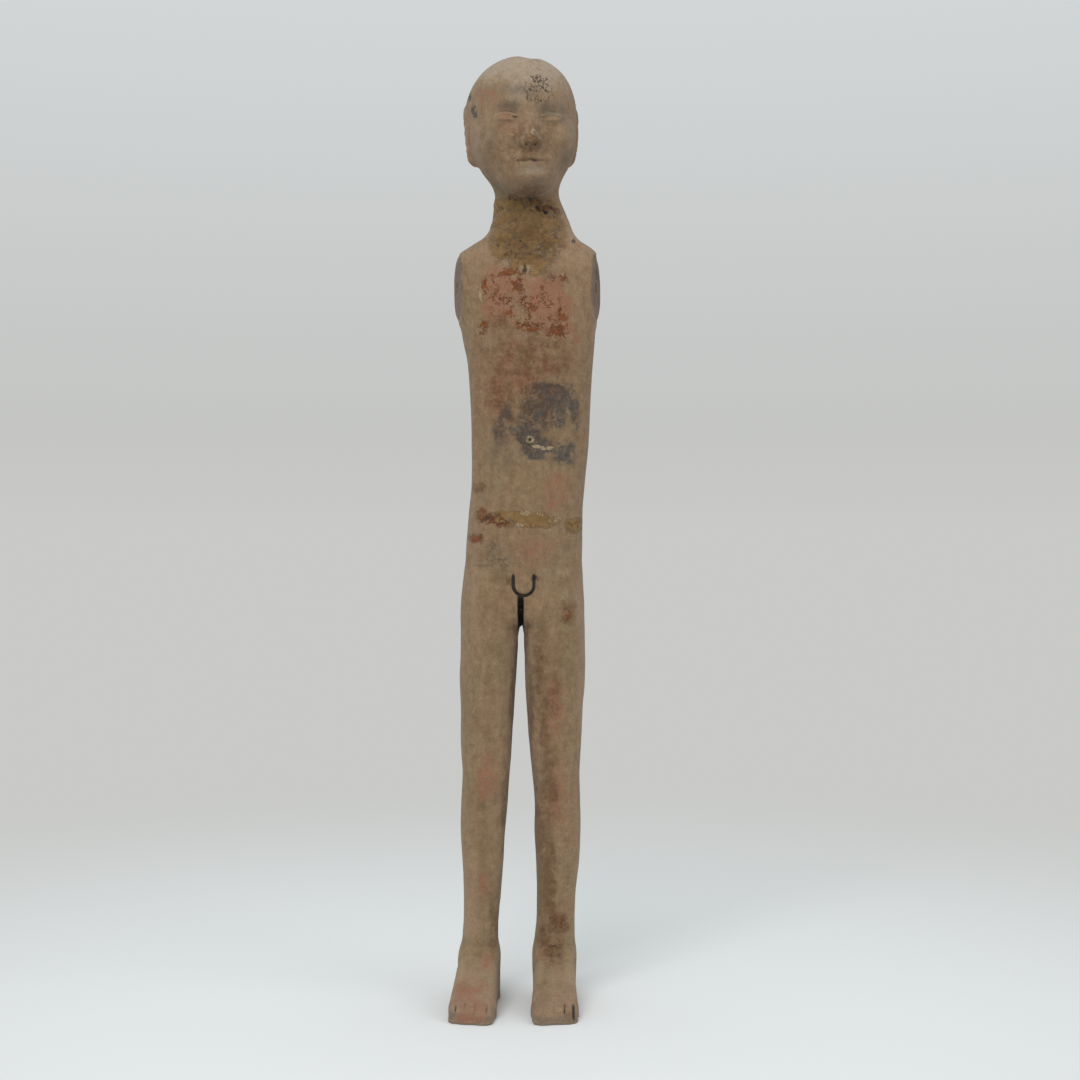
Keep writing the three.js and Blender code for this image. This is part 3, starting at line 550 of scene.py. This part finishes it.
def neck_crack(p):
    """A jagged crack under the chin, along the top of the neck's old repair."""
    x = p[0]
    along = np.stack([x, np.zeros_like(x), np.zeros_like(x)])
    level = CRACK_LEVEL + 3.0 * grain(along, 5.5, 12) + 2.4 * grain(along, 2.2, 13)
    crack = 0.8 * hump(p[2] - level, CRACK_HALF)
    return crack * smoothstep(*CRACK_FROM, x) * smoothstep(*CRACK_TO, x)


def fine_cuts(p):
    """Depth of the fine carving at each place: above nought where it goes in."""
    x, y, z = p
    cuts = np.zeros(p.shape[1])
    up = within(z, "face")
    q = in_head(p[:, up])
    face = eye_cuts(q) + mouth_cuts(q) + nose_cuts(q)
    cuts[up] = face * smoothstep(30, 38, -q[1]) + ear_cuts(q)
    front = smoothstep(15, 25, -y)
    away = np.hypot(x - NAVEL_X, z - NAVEL_LEVEL)
    cuts += front * (2.4 * hump(away, 2) - 1.3 * hump(away - 3.6, 1.8))
    cuts += front * groin_cuts(x - RELIEF_X, z - RELIEF_LEVEL)
    cuts += front * neck_crack(p)
    low = within(z, "toes")
    for stance in FEET:
        cuts[low] += toe_cuts(p[:, low], stance)
    return cuts


def groin_cuts(x, z):
    """A rounded tab in low relief, inside a groove shaped like a U, with two cut lines."""
    away = np.where(z > 0, np.abs(x), np.hypot(x, z))
    below = 1 - smoothstep(RELIEF_STRAIGHT - 2, RELIEF_STRAIGHT + 4, z)
    groove = 6.0 * hump(away - RELIEF_HALF - 1.2, 2.3) * below
    tab = -2.4 * np.clip(1 - (away / RELIEF_HALF) ** 4, 0, 1) * (1 - smoothstep(6, 20, z))
    lines = 1.2 * (hump(x + 5.2, 1.1) + hump(x - 4.6, 1.1)) * hump(z - 1, 7)
    stem = 6.0 * hump(x - SLIT_MIDDLE + RELIEF_X, 3.8) * smoothstep(-8, -11, z) * (z > -30)
    return groove + tab + lines + stem


def toe_cuts(p, stance):
    """The grooves between one foot's toes. The deep one runs down to the sole."""
    ankle, turn, big_toe, grooves = stance
    side, along = along_foot(p, ankle, turn)
    ahead = smoothstep(TOES - 26, TOES - 14, along) * (np.abs(side) < BALL_HALF)
    cuts = np.zeros(p.shape[1])
    for place, depth in grooves:
        low = mix(8, 1, smoothstep(2, 3, depth))
        groove = depth * hump(side - place * big_toe, GROOVE_HALF)
        cuts += groove * ahead * smoothstep(low, low + 3, p[2])
    return cuts


def form(p, detail=0.0):
    """The whole figure: negative inside, and about the distance to its surface in shares."""
    x, y, z = p
    field = np.full(p.shape[1], FAR)
    part = within(z, "trunk")
    field[part] = smooth_max(trunk(p[:, part]), TRUNK_END - z[part], 12)
    part = within(z, "neck")
    field[part] = smooth_min(field[part], NECK_FORM(p[:, part]), NECK_BLEND)
    part = within(z, "legs")
    field[part] = smooth_min(field[part], legs(p[:, part]), HIP_BLEND)
    part = within(z, "carving")
    q = (x[part] - BODY_MIDDLE, y[part], z[part])
    for feature in BODY_CARVING:
        field[part] = carve(field[part], q, feature)
    part = within(z, "head")
    field[part] = smooth_max(field[part], z[part] - NECK_END, 4)
    field[part] = smooth_min(field[part], head(p[:, part], detail), HEAD_BLEND)
    part = within(z, "slit")
    field[part] = slit(field[part], p[:, part])
    part = within(z, "seats")
    for side in SEAT_EDGES:
        field[part] = arm_seat(field[part], p[:, part], side)
    if detail:
        field = field + detail * fine_cuts(p)
    return smooth_max(field, -z, SOLE_ROUND)


def surface_net(low, high, step):
    """Quads round every grid edge that comes out of the clay, with a vertex in each cell."""
    axes = [np.arange(low[i], high[i] + step, step) for i in range(3)]
    across, depth = np.meshgrid(axes[0], axes[1], indexing="ij")
    values = np.empty((len(axes[0]), len(axes[1]), len(axes[2])))
    for k, level in enumerate(axes[2]):
        slab = np.stack([across.ravel(), depth.ravel(), np.full(across.size, level)])
        values[:, :, k] = form(slab).reshape(across.shape)
    quads, cells, places = [], [], []
    for axis in range(3):
        ahead = np.roll(values, -1, axis)
        edges = np.argwhere((values < 0) != (ahead < 0))
        here, there = values[tuple(edges.T)], ahead[tuple(edges.T)]
        place = edges.astype(float)
        place[:, axis] += here / (here - there)
        ring = []
        for back in ((0, 0), (1, 0), (1, 1), (0, 1)):
            cell = edges.copy()
            cell[:, (axis + 1) % 3] -= back[0]
            cell[:, (axis + 2) % 3] -= back[1]
            ring.append(np.ravel_multi_index(cell.T, values.shape))
        ring = np.stack(ring, axis=1)
        ring[here > 0] = ring[here > 0, ::-1]
        quads.append(ring)
        cells.append(ring.ravel())
        places.append(np.repeat(place, 4, axis=0))
    names, index = np.unique(np.concatenate(cells), return_inverse=True)
    places, count = np.vstack(places), np.bincount(index)
    middles = np.stack([np.bincount(index, places[:, i]) / count for i in range(3)])
    return np.array(low)[:, None] + middles * step, np.searchsorted(names, np.vstack(quads))


def slope_of(p, detail):
    """The field and its slope at each place."""
    reach = 0.15
    here = form(p, detail)
    slope = np.empty_like(p)
    for axis in range(3):
        beside = p.copy()
        beside[axis] += reach
        slope[axis] = (form(beside, detail) - here) / reach
    return here, slope


def settle(p, detail, rounds=2):
    """Moves each place onto the surface, straight up or down the field's slope."""
    for _ in range(rounds):
        here, slope = slope_of(p, detail)
        step = here / np.maximum((slope**2).sum(axis=0), LEAST_SLOPE)
        p = p - slope * np.clip(step, -LONGEST_MOVE, LONGEST_MOVE)
    return p


def mean_of_neighbours(p, edges):
    """The mean of what the neighbours of each vertex have."""
    count = np.bincount(edges.ravel(), minlength=p.shape[-1])
    flipped = edges[:, ::-1].ravel()
    return np.stack([np.bincount(edges.ravel(), row[flipped], len(count)) / count for row in p])


def relax(p, edges, detail, rounds):
    """Evens out the vertices along the surface."""
    for _ in range(rounds):
        p = mix(p, mean_of_neighbours(p, edges), EVENING)
        p = settle(p, detail, 1)
    return p


def grain(p, size, seed):
    """Smooth random lumps of one size, from -1 to 1. A size can differ from axis to axis."""
    lattice = np.random.default_rng(seed).uniform(-1, 1, (32, 32, 32))
    at = p / np.reshape(size, (-1, 1))
    cell = np.floor(at).astype(int)
    t = at - cell
    t = t * t * (3 - 2 * t)
    total = np.zeros(p.shape[1])
    for corner in np.ndindex(2, 2, 2):
        corner = np.array(corner)[:, None]
        weight = np.where(corner == 1, t, 1 - t).prod(axis=0)
        total += weight * lattice[tuple((cell + corner) % 32)]
    return total


def lumps_of(p, rows):
    """Several kinds of lumps together, each with its height, size and seed."""
    return sum(height * grain(p, size, seed) for height, size, seed in rows)


def in_blots(p, name):
    """How deep each place is inside the blots of one kind: one in the middle, nought outside."""
    x, z = [p[axis] + BLOT_WAVE * grain(p, BLOT_WAVE_SIZE, seed) for axis, seed in ((0, 31), (2, 32))]
    inside = np.zeros(p.shape[1])
    for across, level, half, tall, *strength in BLOTS[name]:
        u, v = np.abs(x - across) / half, np.abs(z - level) / tall
        n = BLOT_SQUARENESS
        reach = (u**n + v**n) ** (1 / n)
        weight = strength[0] if strength else 1
        inside = np.maximum(inside, np.clip(1 - reach, 0, 1) * weight)
    return inside


def roughness_of_hand(p, repair):
    """Hand-made unevenness in shares: slow swells, smoothing strokes, pits and lumpy repairs."""
    swell, lumps = lumps_of(p, SWELLS), lumps_of(p, REPAIR_LUMPS)
    strokes = 0.05 * grain(p, (5, 5, 60), 5) * smoothstep(860, 800, p[2])
    pits = -0.8 * smoothstep(0.6, 0.9, grain(p, 4.5, 6)) * smoothstep(0, 0.6, grain(p, 60, 7))
    holes = -0.8 * smoothstep(0.45, 0.8, grain(p, 3.4, 11))
    front, back = NECK_REPAIR
    neck = mix(back, front, smoothstep(10, -15, p[1]))
    thick = np.where(p[2] > NECK_REPAIR_FROM, neck, WAIST_REPAIR)
    return swell + strokes + pits + thick * smoothstep(0.05, 0.4, repair) * (lumps + holes)


def mesh_from(points, faces, name):
    mesh = bpy.data.meshes.new(name)
    mesh.from_pydata(points.T.tolist(), [], [list(face) for face in faces])
    return mesh


def refine(mesh, low, high):
    """Parts each face in a box into four."""
    work = bmesh.new()
    work.from_mesh(mesh)
    edges = set()
    for face in work.faces:
        middle = face.calc_center_median()
        if all(low[i] < middle[i] < high[i] for i in range(3)):
            edges.update(face.edges)
    order = sorted(edges, key=lambda edge: edge.index)
    bmesh.ops.subdivide_edges(work, edges=order, cuts=1, use_grid_fill=True)
    work.to_mesh(mesh)
    work.free()


def places_of(mesh):
    flat = np.empty(len(mesh.vertices) * 3)
    mesh.vertices.foreach_get("co", flat)
    return flat.reshape(-1, 3).T


def edges_of(mesh):
    flat = np.empty(len(mesh.edges) * 2, dtype=np.int32)
    mesh.edges.foreach_get("vertices", flat)
    return flat.reshape(-1, 2)


def write_places(mesh, p):
    mesh.vertices.foreach_set("co", p.T.ravel())


def write_mask(mesh, name, values):
    layer = mesh.attributes.new(name, "FLOAT", "POINT")
    layer.data.foreach_set("value", values.astype(np.float32))


def paint_masks(p, out):
    """How much of each paint and stain, and of the shade painted with them, lies at each place."""
    masks = {name: in_blots(p, name) for name in BLOTS}
    facing = smoothstep(-0.25, 0.25, -out[1])
    for name in masks:
        if name not in ALL_ROUND:
            masks[name] *= facing
    return masks


def hollows(p, out, edges):
    """How deep each place lies among its neighbours, from -1 on an edge to 1 in a groove."""
    hollow = ((mean_of_neighbours(p, edges) - p) * out).sum(axis=0)
    for _ in range(2):
        hollow = mix(hollow, mean_of_neighbours(hollow[None], edges)[0], EVENING)
    return np.clip(hollow * 4, -1, 1)


def figure_mesh(step):
    """The figure's skin in metres, with masks of its paint and wear, and of its hollows, where shade is
    painted.
    """
    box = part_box("figure")
    tall = (box[1][2] - box[0][2]) / SHARE
    points, quads = surface_net(GRID_LOW, (*GRID_HIGH, tall + GRID_SPARE), step)
    mesh = mesh_from(points, quads, "figure_skin")
    write_places(mesh, relax(settle(places_of(mesh), 0), edges_of(mesh), 0, 5))
    for low, high in FINE_BOXES:
        refine(mesh, low, high)
    p, edges = places_of(mesh), edges_of(mesh)
    for detail in (0, 0.4, 0.8, 1.0):
        p = relax(p, edges, detail, 2)
    slope = slope_of(p, 1.0)[1]
    out = slope / np.linalg.norm(slope, axis=0)
    masks = paint_masks(p, out)
    above_sole = smoothstep(0.5, 4, p[2])
    p = p + out * roughness_of_hand(p, masks["ochre"]) * above_sole
    # The hollow mask tells the material where to paint shade and earth, and where to lighten worn
    # ridges.
    masks["hollow"] = hollows(p, out, edges)
    for name, values in masks.items():
        write_mask(mesh, name, values)
    middle = (p.max(axis=1) + p.min(axis=1)) / 2
    middle[2] = 0
    write_places(mesh, (p - middle[:, None]) * SHARE)
    mesh.polygons.foreach_set("use_smooth", [True] * len(mesh.polygons))
    mesh.update()
    return mesh


def pigment(red, green, blue):
    """A colour as light values, from the eight-bit values of a screen."""
    values = [value / 255 for value in (red, green, blue)]
    return tuple(v / 12.92 if v <= 0.04045 else ((v + 0.055) / 1.055) ** 2.4 for v in values)


class Wiring:
    """Short calls that make and link the nodes of one shader."""

    def __init__(self, name):
        self.material = bpy.data.materials.new(name)
        self.material.use_nodes = True
        self.tree = self.material.node_tree
        self.tree.nodes.clear()
        self.place = self.node("TexCoord", {}).outputs["Object"]

    def node(self, kind, inputs, **settings):
        made = self.tree.nodes.new("ShaderNode" + kind)
        for name, value in settings.items():
            setattr(made, name, value)
        for key, value in inputs.items():
            if isinstance(value, bpy.types.NodeSocket):
                self.tree.links.new(value, made.inputs[key])
            else:
                made.inputs[key].default_value = value
        return made

    def math(self, operation, a, b=0.0):
        return self.node("Math", {0: a, 1: b}, operation=operation).outputs[0]

    def noise(self, size, detail=4.0, stretch=1.0, shift=0.0, rough=0.55):
        """Noise whose lumps have a size in metres, drawn out upwards by a factor."""
        turn = self.node("Mapping", {"Vector": self.place, "Location": (shift, shift, shift)})
        turn.inputs["Scale"].default_value = (1, 1, 1 / stretch)
        inputs = {"Vector": turn.outputs[0], "Scale": 1 / size, "Detail": detail, "Roughness": rough}
        return self.node("TexNoise", inputs).outputs["Fac"]

    def grade(self, value, low, high, bottom=0.0, top=1.0):
        inputs = {"Value": value, "From Min": low, "From Max": high, "To Min": bottom, "To Max": top}
        return self.node("MapRange", inputs, interpolation_type="SMOOTHSTEP").outputs[0]

    def blend(self, share, a, b, way="MIX"):
        a, b = [c if isinstance(c, bpy.types.NodeSocket) else (*c, 1.0) for c in (a, b)]
        inputs = {0: share, 6: a, 7: b}
        return self.node("Mix", inputs, data_type="RGBA", blend_type=way).outputs[2]

    def mask(self, name):
        return self.node("Attribute", {}, attribute_name=name).outputs["Fac"]

    def worn(self, name, size, solid, soft, shift):
        """A painted mask worn away by noise, most of all towards its rim."""
        left = self.grade(self.noise(size, 9.0, shift=shift, rough=0.74), 0.3, 0.7, 0.0, 2.0)
        value = self.math("MULTIPLY", self.mask(name), left)
        return self.grade(value, 0.5 - solid - soft / 2, 0.5 - solid + soft / 2)

    def flakes(self, name, size, solid, soft, shift):
        """A painted mask broken into small angular flakes, most of all towards its rim."""
        wave = self.node("TexNoise", {"Vector": self.place, "Scale": 1 / size, "Detail": 4.0})
        bend = self.node("VectorMath", {0: wave.outputs["Color"], 1: (size,) * 3}, operation="MULTIPLY")
        moved = self.node("VectorMath", {0: self.place, 1: bend.outputs[0]}, operation="ADD")
        cells = self.node("TexVoronoi", {"Vector": moved.outputs[0], "Scale": 1 / size})
        chance = self.node("SeparateColor", {0: cells.outputs["Color"]}).outputs[0]
        wear = self.grade(self.noise(size, 8.0, shift=shift, rough=0.75), 0.3, 0.7, 0.5, 1.5)
        left = self.math("MULTIPLY", self.grade(chance, 0.0, 1.0, 0.35, 1.6), wear)
        value = self.math("MULTIPLY", self.mask(name), left)
        return self.grade(value, 0.5 - solid - soft / 2, 0.5 - solid + soft / 2)

    def lines(self, size, width, shift, rough=0.6):
        """Thin wandering lines, where a noise passes its middle value."""
        noise = self.noise(size, 4.0, shift=shift, rough=rough)
        away = self.math("ABSOLUTE", self.math("SUBTRACT", noise, 0.5))
        return self.grade(away, width, width * 0.35)


# Layers of paint and stain, some also painting shade, from the lowest: mask, colour, size of what
# is worn away in metres, how solid it is, how soft its rim is and how much it covers.
LAYERS = (
    ("dust", "dust", 0.02, 0.2, 0.7, 0.7),
    ("warm", "clay_light", 0.03, 0.2, 0.6, 0.75),
    ("ochre", "ochre", 0.006, 0.25, 0.3, 0.95),
    ("olive", "olive", 0.012, 0.15, 0.7, 0.5),
    ("dusk", "dusk", 0.010, 0.2, 0.7, 0.65),
    ("pink", "slip", 0.012, 0.22, 0.5, 0.85),
    ("soot", "soot", 0.009, 0.18, 0.6, 0.92),
    ("brown", "brown", 0.006, 0.2, 0.7, 0.75),
    ("rust", "rust", 0.0026, 0.0, 0.12, 0.85),
    ("black", "black", 0.003, 0.05, 0.2, 0.8),
    ("pale", "clay_pale", 0.0022, -0.02, 0.2, 0.8),
)
# Layers that lie thinly, so that the clay shows through, those that are left as angular flakes,
# and those that have a second colour in patches.
THIN = ("dust", "warm", "olive", "dusk", "pink", "soot", "brown")
FLAKED = ("rust",)
SECOND = {"rust": "crust", "soot": "soot_blue", "ochre": "ochre_pale"}
# Sizes of the clay's finest marks, in metres, and the depth of the bump that they make.
SPECK, FLECK, CHIP, CRUMB, BUMP = 0.0010, 0.0018, 0.0023, 0.0018, 0.0005


def bare_clay(w, colours):
    """The clay's own colour: warm and grey patches, faint smoothing marks and fine mottling."""
    patchy = w.grade(w.noise(0.05, 5.0, rough=0.6), 0.34, 0.66)
    dusty = w.grade(w.noise(0.016, 8.0, shift=0.9, rough=0.72), 0.42, 0.72, 0, 0.42)
    mottle = w.grade(w.noise(0.005, 9.0, shift=0.3, rough=0.78), 0.3, 0.7)
    strokes = w.grade(w.noise(0.003, 6.0, stretch=6.0, shift=0.1, rough=0.7), 0.3, 0.7)
    colour = w.blend(patchy, colours.clay, colours.clay_warm)
    colour = w.blend(dusty, colour, colours.clay_grey)
    colour = w.blend(w.grade(mottle, 0.45, 1.0, 0, 0.4), colour, colours.brown)
    colour = w.blend(w.grade(mottle, 0.5, 0.0, 0, 0.3), colour, colours.clay_pale)
    colour = w.blend(w.math("MULTIPLY", strokes, 0.24), colour, colours.clay_pale)
    return colour, mottle, strokes


def painted(w, colours, colour):
    """The layers of paint and stain over the clay, with the shade painted among them, and how far each
    covers it.
    """
    covers = {}
    thin = w.grade(w.noise(0.0028, 7.0, shift=8.3, rough=0.75), 0.3, 0.6, 0.4, 1.0)
    tone = w.grade(w.noise(0.007, 6.0, shift=9.1, rough=0.7), 0.3, 0.72)
    for step, (name, paint, size, solid, soft, strength) in enumerate(LAYERS):
        worn = w.flakes if name in FLAKED else w.worn
        cover = worn(name, size, solid, soft, 0.37 * (step + 1))
        if name in THIN:
            cover = w.math("MULTIPLY", cover, thin)
        covers[name] = cover
        share = w.math("MULTIPLY", cover, strength)
        paint = getattr(colours, paint)
        if name in SECOND:
            paint = w.blend(tone, paint, getattr(colours, SECOND[name]))
        colour = w.blend(share, colour, paint)
    crackle = w.math("MULTIPLY", w.lines(0.008, 0.034, 4.1, 0.7), w.grade(w.mask("rust"), 0.0, 0.2))
    gate = w.grade(w.noise(0.010, 3.0, shift=7.7), 0.42, 0.52, 0, 0.9)
    colour = w.blend(w.math("MULTIPLY", crackle, gate), colour, colours.crust)
    ink = w.math("MULTIPLY", w.lines(0.007, 0.028, 5.3, 0.6), w.grade(w.mask("ink"), 0.05, 0.8))
    colour = w.blend(w.math("MULTIPLY", ink, 0.85), colour, colours.black)
    return colour, covers


def clay_material(colours):
    """Fired clay under worn slip, soot, earth and old repairs, with painted shade in its hollows."""
    w = Wiring("fired_clay")
    bare, mottle, strokes = bare_clay(w, colours)
    colour, covers = painted(w, colours, bare)
    speck = w.noise(SPECK, 5.0, shift=0.7, rough=0.75)
    flecks = w.grade(w.noise(FLECK, 6.0, shift=2.3, rough=0.7), 0.64, 0.70, 0, 0.75)
    colour = w.blend(flecks, colour, colours.dirt_and_shade)
    chips = w.grade(w.noise(CHIP, 6.0, shift=3.3, rough=0.7), 0.33, 0.28, 0, 0.55)
    colour = w.blend(chips, colour, colours.clay_pale)
    # Painted shade and earth: the hollows are darkened with the dark earth colour, more where they are
    # deeper.
    hollow = w.grade(w.mask("hollow"), 0.12, 0.9, 0, 0.65)
    colour = w.blend(hollow, colour, colours.dirt_and_shade)
    # Painted shade: the deepest grooves and cracks are painted black, or dark red-brown where rust
    # lies.
    deep = w.grade(w.mask("hollow"), 0.65, 1.0, 0, 0.8)
    depths = w.blend(w.grade(w.mask("rust"), 0.0, 0.3), colours.black, colours.crust)
    colour = w.blend(deep, colour, depths)
    edges = w.grade(w.mask("hollow"), -0.2, -0.9, 0, 0.25)
    colour = w.blend(edges, colour, colours.clay_pale)
    light = w.grade(speck, 0.25, 0.75, 0.84, 1.16)
    grey = w.node("CombineColor", {0: light, 1: light, 2: light}).outputs[0]
    colour = w.blend(1.0, colour, grey, "MULTIPLY")
    crumbs = w.math("MULTIPLY", covers["ochre"], w.noise(CRUMB, 6.0, shift=6.1, rough=0.7))
    heights = (
        (speck, 0.7), (strokes, 0.12), (mottle, -0.35), (flecks, -0.8), (chips, -0.3), (crumbs, 2.0),
        (covers["pink"], 0.3), (covers["rust"], -0.5), (covers["ochre"], 0.3),
    )
    height = 0.0
    for value, weight in heights:
        height = w.math("ADD", w.math("MULTIPLY", value, weight), height)
    bump = w.node("Bump", {"Height": height, "Distance": BUMP, "Strength": 0.85})
    rough = w.grade(speck, 0.3, 0.7, 0.97, 0.85)
    surface = {"Base Color": colour, "Roughness": rough, "Normal": bump.outputs["Normal"]}
    dust = {"Specular IOR Level": 0.2, "Sheen Weight": 0.12, "Sheen Roughness": 0.6}
    shader = w.node("BsdfPrincipled", {**surface, **dust})
    w.node("OutputMaterial", {"Surface": shader.outputs[0]})
    return w.material


class FigureSettings(bpy.types.PropertyGroup):
    """Sizes of the figure's mesh."""

    mesh_step: bpy.props.FloatProperty(
        name="Mesh step",
        description="Distance between the vertices where the figure is plain",
        default=0.0023,
        min=0.001,
        max=0.006,
        precision=5,
        unit="LENGTH",
    )


def colour_property(name, description, default):
    return bpy.props.FloatVectorProperty(
        name=name, description=description, default=default, subtype="COLOR", min=0, max=1
    )


class ClayColours(bpy.types.PropertyGroup):
    """Colours of the clay, its slip and its stains, some of them also used as painted shade."""

    clay: colour_property("Clay", "Fired clay, dull tan", pigment(125, 101, 73))
    clay_warm: colour_property("Warm clay", "Clay with traces of pink slip", pigment(129, 99, 73))
    clay_light: colour_property("Light clay", "Cleaner clay, light and warm", pigment(147, 121, 98))
    clay_grey: colour_property("Grey clay", "Clay under thin grey dust", pigment(115, 100, 80))
    dust: colour_property("Dust", "Pale dust on the crown", pigment(160, 147, 129))
    clay_pale: colour_property("Pale clay", "Rubbed clay and fresh scratches", pigment(160, 141, 111))
    slip: colour_property("Pink slip", "Pink slip that is left on the skin", pigment(139, 94, 72))
    rust: colour_property("Rust", "Orange-brown flakes", pigment(128, 71, 20))
    crust: colour_property("Crust", "Dark red-brown flakes and fine lines", pigment(88, 46, 20))
    ochre: colour_property("Ochre", "Yellow-brown earth of the old repairs", pigment(120, 90, 48))
    ochre_pale: colour_property("Pale ochre", "Paler earth of the repairs", pigment(134, 106, 66))
    # Olive, dusk and brown also paint shade on the arm seats, and brown also paints shade between the
    # thighs.
    olive: colour_property("Olive", "Greenish earth on the neck and legs", pigment(100, 84, 54))
    dusk: colour_property("Dusk", "Thin grey dirt", pigment(90, 84, 74))
    soot: colour_property("Soot", "Dark grey stain on the belly", pigment(54, 50, 47))
    soot_blue: colour_property("Blue soot", "Bluish parts of that stain", pigment(58, 66, 70))
    brown: colour_property("Brown", "Brown stains on the legs", pigment(86, 56, 30))
    black: colour_property("Black", "Last traces of black pigment", pigment(34, 29, 27))
    # Dark earth colour of the small flecks, also painted into the hollows as shade.
    dirt_and_shade: colour_property("Dirt", "Earth in the hollows", pigment(58, 45, 32))


class StudioSettings(bpy.types.PropertyGroup):
    """Floor, light and camera."""

    floor_colour: colour_property("Floor", "Matt white of the floor", pigment(226, 228, 228))
    low_colour: colour_property("Low surroundings", "Light at the horizon", pigment(201, 202, 200))
    middle_colour: colour_property("Surroundings", "Light over the horizon", pigment(192, 193, 191))
    high_colour: colour_property("High surroundings", "Light from above", pigment(214, 218, 219))
    key_power: bpy.props.FloatProperty(
        name="Main light", description="Power of the light in front", default=19.0, unit="POWER"
    )
    fill_power: bpy.props.FloatProperty(
        name="Side light", description="Power of the light at the side", default=4.0, unit="POWER"
    )
    camera_place: bpy.props.FloatVectorProperty(
        name="Camera", description="Place of the camera", default=(0.0086, -1.0465, 0.292),
        subtype="TRANSLATION", unit="LENGTH",
    )
    camera_angle: bpy.props.FloatProperty(
        name="Field of view", description="Angle across the square picture",
        default=2 * math.atan(HALF_PICTURE / LENS), subtype="ANGLE",
    )


class TOMB_OT_figure(bpy.types.Operator):
    """Build the figure's skin and its clay"""

    bl_idname = "tomb.figure"
    bl_label = "Figure"

    def execute(self, context):
        settings = context.scene.tomb_figure
        mesh = figure_mesh(settings.mesh_step / SHARE)
        mesh.materials.append(clay_material(context.scene.tomb_colours))
        figure = bpy.data.objects.new("clay_figure", mesh)
        context.scene.collection.objects.link(figure)
        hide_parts("figure")
        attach(figure, "root")
        return {"FINISHED"}


def floor_material(colour, far_colour):
    """Matt white round the figure, which fades into the colour of the surroundings."""
    w = Wiring("floor_white")
    near = w.node("BsdfPrincipled", {"Base Color": (*colour, 1), "Roughness": 0.9}).outputs[0]
    far = w.node("Emission", {"Color": (*far_colour, 1)}).outputs[0]
    reach = w.node("VectorMath", {0: w.place}, operation="LENGTH").outputs["Value"]
    fade = w.grade(reach, FLOOR_FADE[0], FLOOR_FADE[1])
    w.node("OutputMaterial", {"Surface": w.node("MixShader", {0: fade, 1: near, 2: far}).outputs[0]})
    return w.material


def surroundings(low, middle, high):
    """A plain world, dimmest a little over the horizon and lighter towards the top."""
    world = bpy.data.worlds.new("studio")
    world.use_nodes = True
    nodes, links = world.node_tree.nodes, world.node_tree.links
    way = nodes.new("ShaderNodeTexCoord").outputs["Generated"]
    split = nodes.new("ShaderNodeSeparateXYZ")
    ramp = nodes.new("ShaderNodeValToRGB")
    stops = ramp.color_ramp.elements
    level, dim, rise = SKY_STOPS
    stops[0].color, stops[1].color = (*low, 1), (*high, 1)
    stops[1].position = rise
    stops.new(level).color = (*low, 1)
    stops.new(dim).color = (*middle, 1)
    ramp.color_ramp.interpolation = "B_SPLINE"
    links.new(way, split.inputs[0])
    links.new(split.outputs["Z"], ramp.inputs["Fac"])
    links.new(ramp.outputs["Color"], nodes["Background"].inputs["Color"])
    return world


def soft_light(context, name, place, power):
    """A wide square light, turned to the figure's chest."""
    data = bpy.data.lights.new(name, "AREA")
    data.energy = power
    data.size = LIGHT_SIZE
    light = bpy.data.objects.new(name, data)
    light.location = place
    light.rotation_euler = (Vector(CHEST) - Vector(place)).to_track_quat("-Z", "Y").to_euler()
    context.scene.collection.objects.link(light)


def level_camera(context, place, angle):
    """The camera that takes the picture, looking level along +Y."""
    data = bpy.data.cameras.new("camera")
    data.sensor_fit = "HORIZONTAL"
    data.angle = angle
    camera = bpy.data.objects.new("camera", data)
    camera.location = place
    camera.rotation_euler = (math.pi / 2, 0, 0)
    context.scene.collection.objects.link(camera)
    context.scene.camera = camera


class TOMB_OT_studio(bpy.types.Operator):
    """Lay the floor, and place the lights and the camera"""

    bl_idname = "tomb.studio"
    bl_label = "Studio"

    def execute(self, context):
        settings = context.scene.tomb_studio
        mesh = bpy.data.meshes.new("floor")
        work = bmesh.new()
        bmesh.ops.create_circle(work, cap_ends=True, segments=96, radius=FLOOR_RADIUS)
        work.to_mesh(mesh)
        work.free()
        low, high = settings.low_colour, settings.high_colour
        mesh.materials.append(floor_material(settings.floor_colour, low))
        floor = bpy.data.objects.new("floor", mesh)
        context.scene.collection.objects.link(floor)
        context.scene.world = surroundings(low, settings.middle_colour, high)
        soft_light(context, "main_light", MAIN_LIGHT, settings.key_power)
        soft_light(context, "side_light", SIDE_LIGHT, settings.fill_power)
        level_camera(context, settings.camera_place, settings.camera_angle)
        context.scene.view_settings.view_transform = "Standard"
        return {"FINISHED"}


class TOMB_PT_panel(bpy.types.Panel):
    """Buttons and settings of the figure"""

    bl_label = "Tomb figure"
    bl_idname = "TOMB_PT_panel"
    bl_space_type = "VIEW_3D"
    bl_region_type = "UI"
    bl_category = "Tomb figure"

    def draw(self, context):
        scene = context.scene
        for group in (scene.tomb_figure, scene.tomb_colours, scene.tomb_studio):
            box = self.layout.box()
            for name in group.__annotations__:
                box.prop(group, name)
        for operator in STEPS:
            self.layout.operator(operator.bl_idname)


STEPS = (TOMB_OT_figure, TOMB_OT_studio)
GROUPS = {
    "tomb_figure": FigureSettings,
    "tomb_colours": ClayColours,
    "tomb_studio": StudioSettings,
}


def register():
    for group in (*GROUPS.values(), *STEPS, TOMB_PT_panel):
        bpy.utils.register_class(group)
    for name, group in GROUPS.items():
        setattr(bpy.types.Scene, name, bpy.props.PointerProperty(type=group))


def unregister():
    for name in GROUPS:
        delattr(bpy.types.Scene, name)
    for group in (TOMB_PT_panel, *STEPS, *GROUPS.values()):
        bpy.utils.unregister_class(group)


def main():
    register()
    bpy.ops.tomb.figure()
    bpy.ops.tomb.studio()


if __name__ == "__main__":
    main()
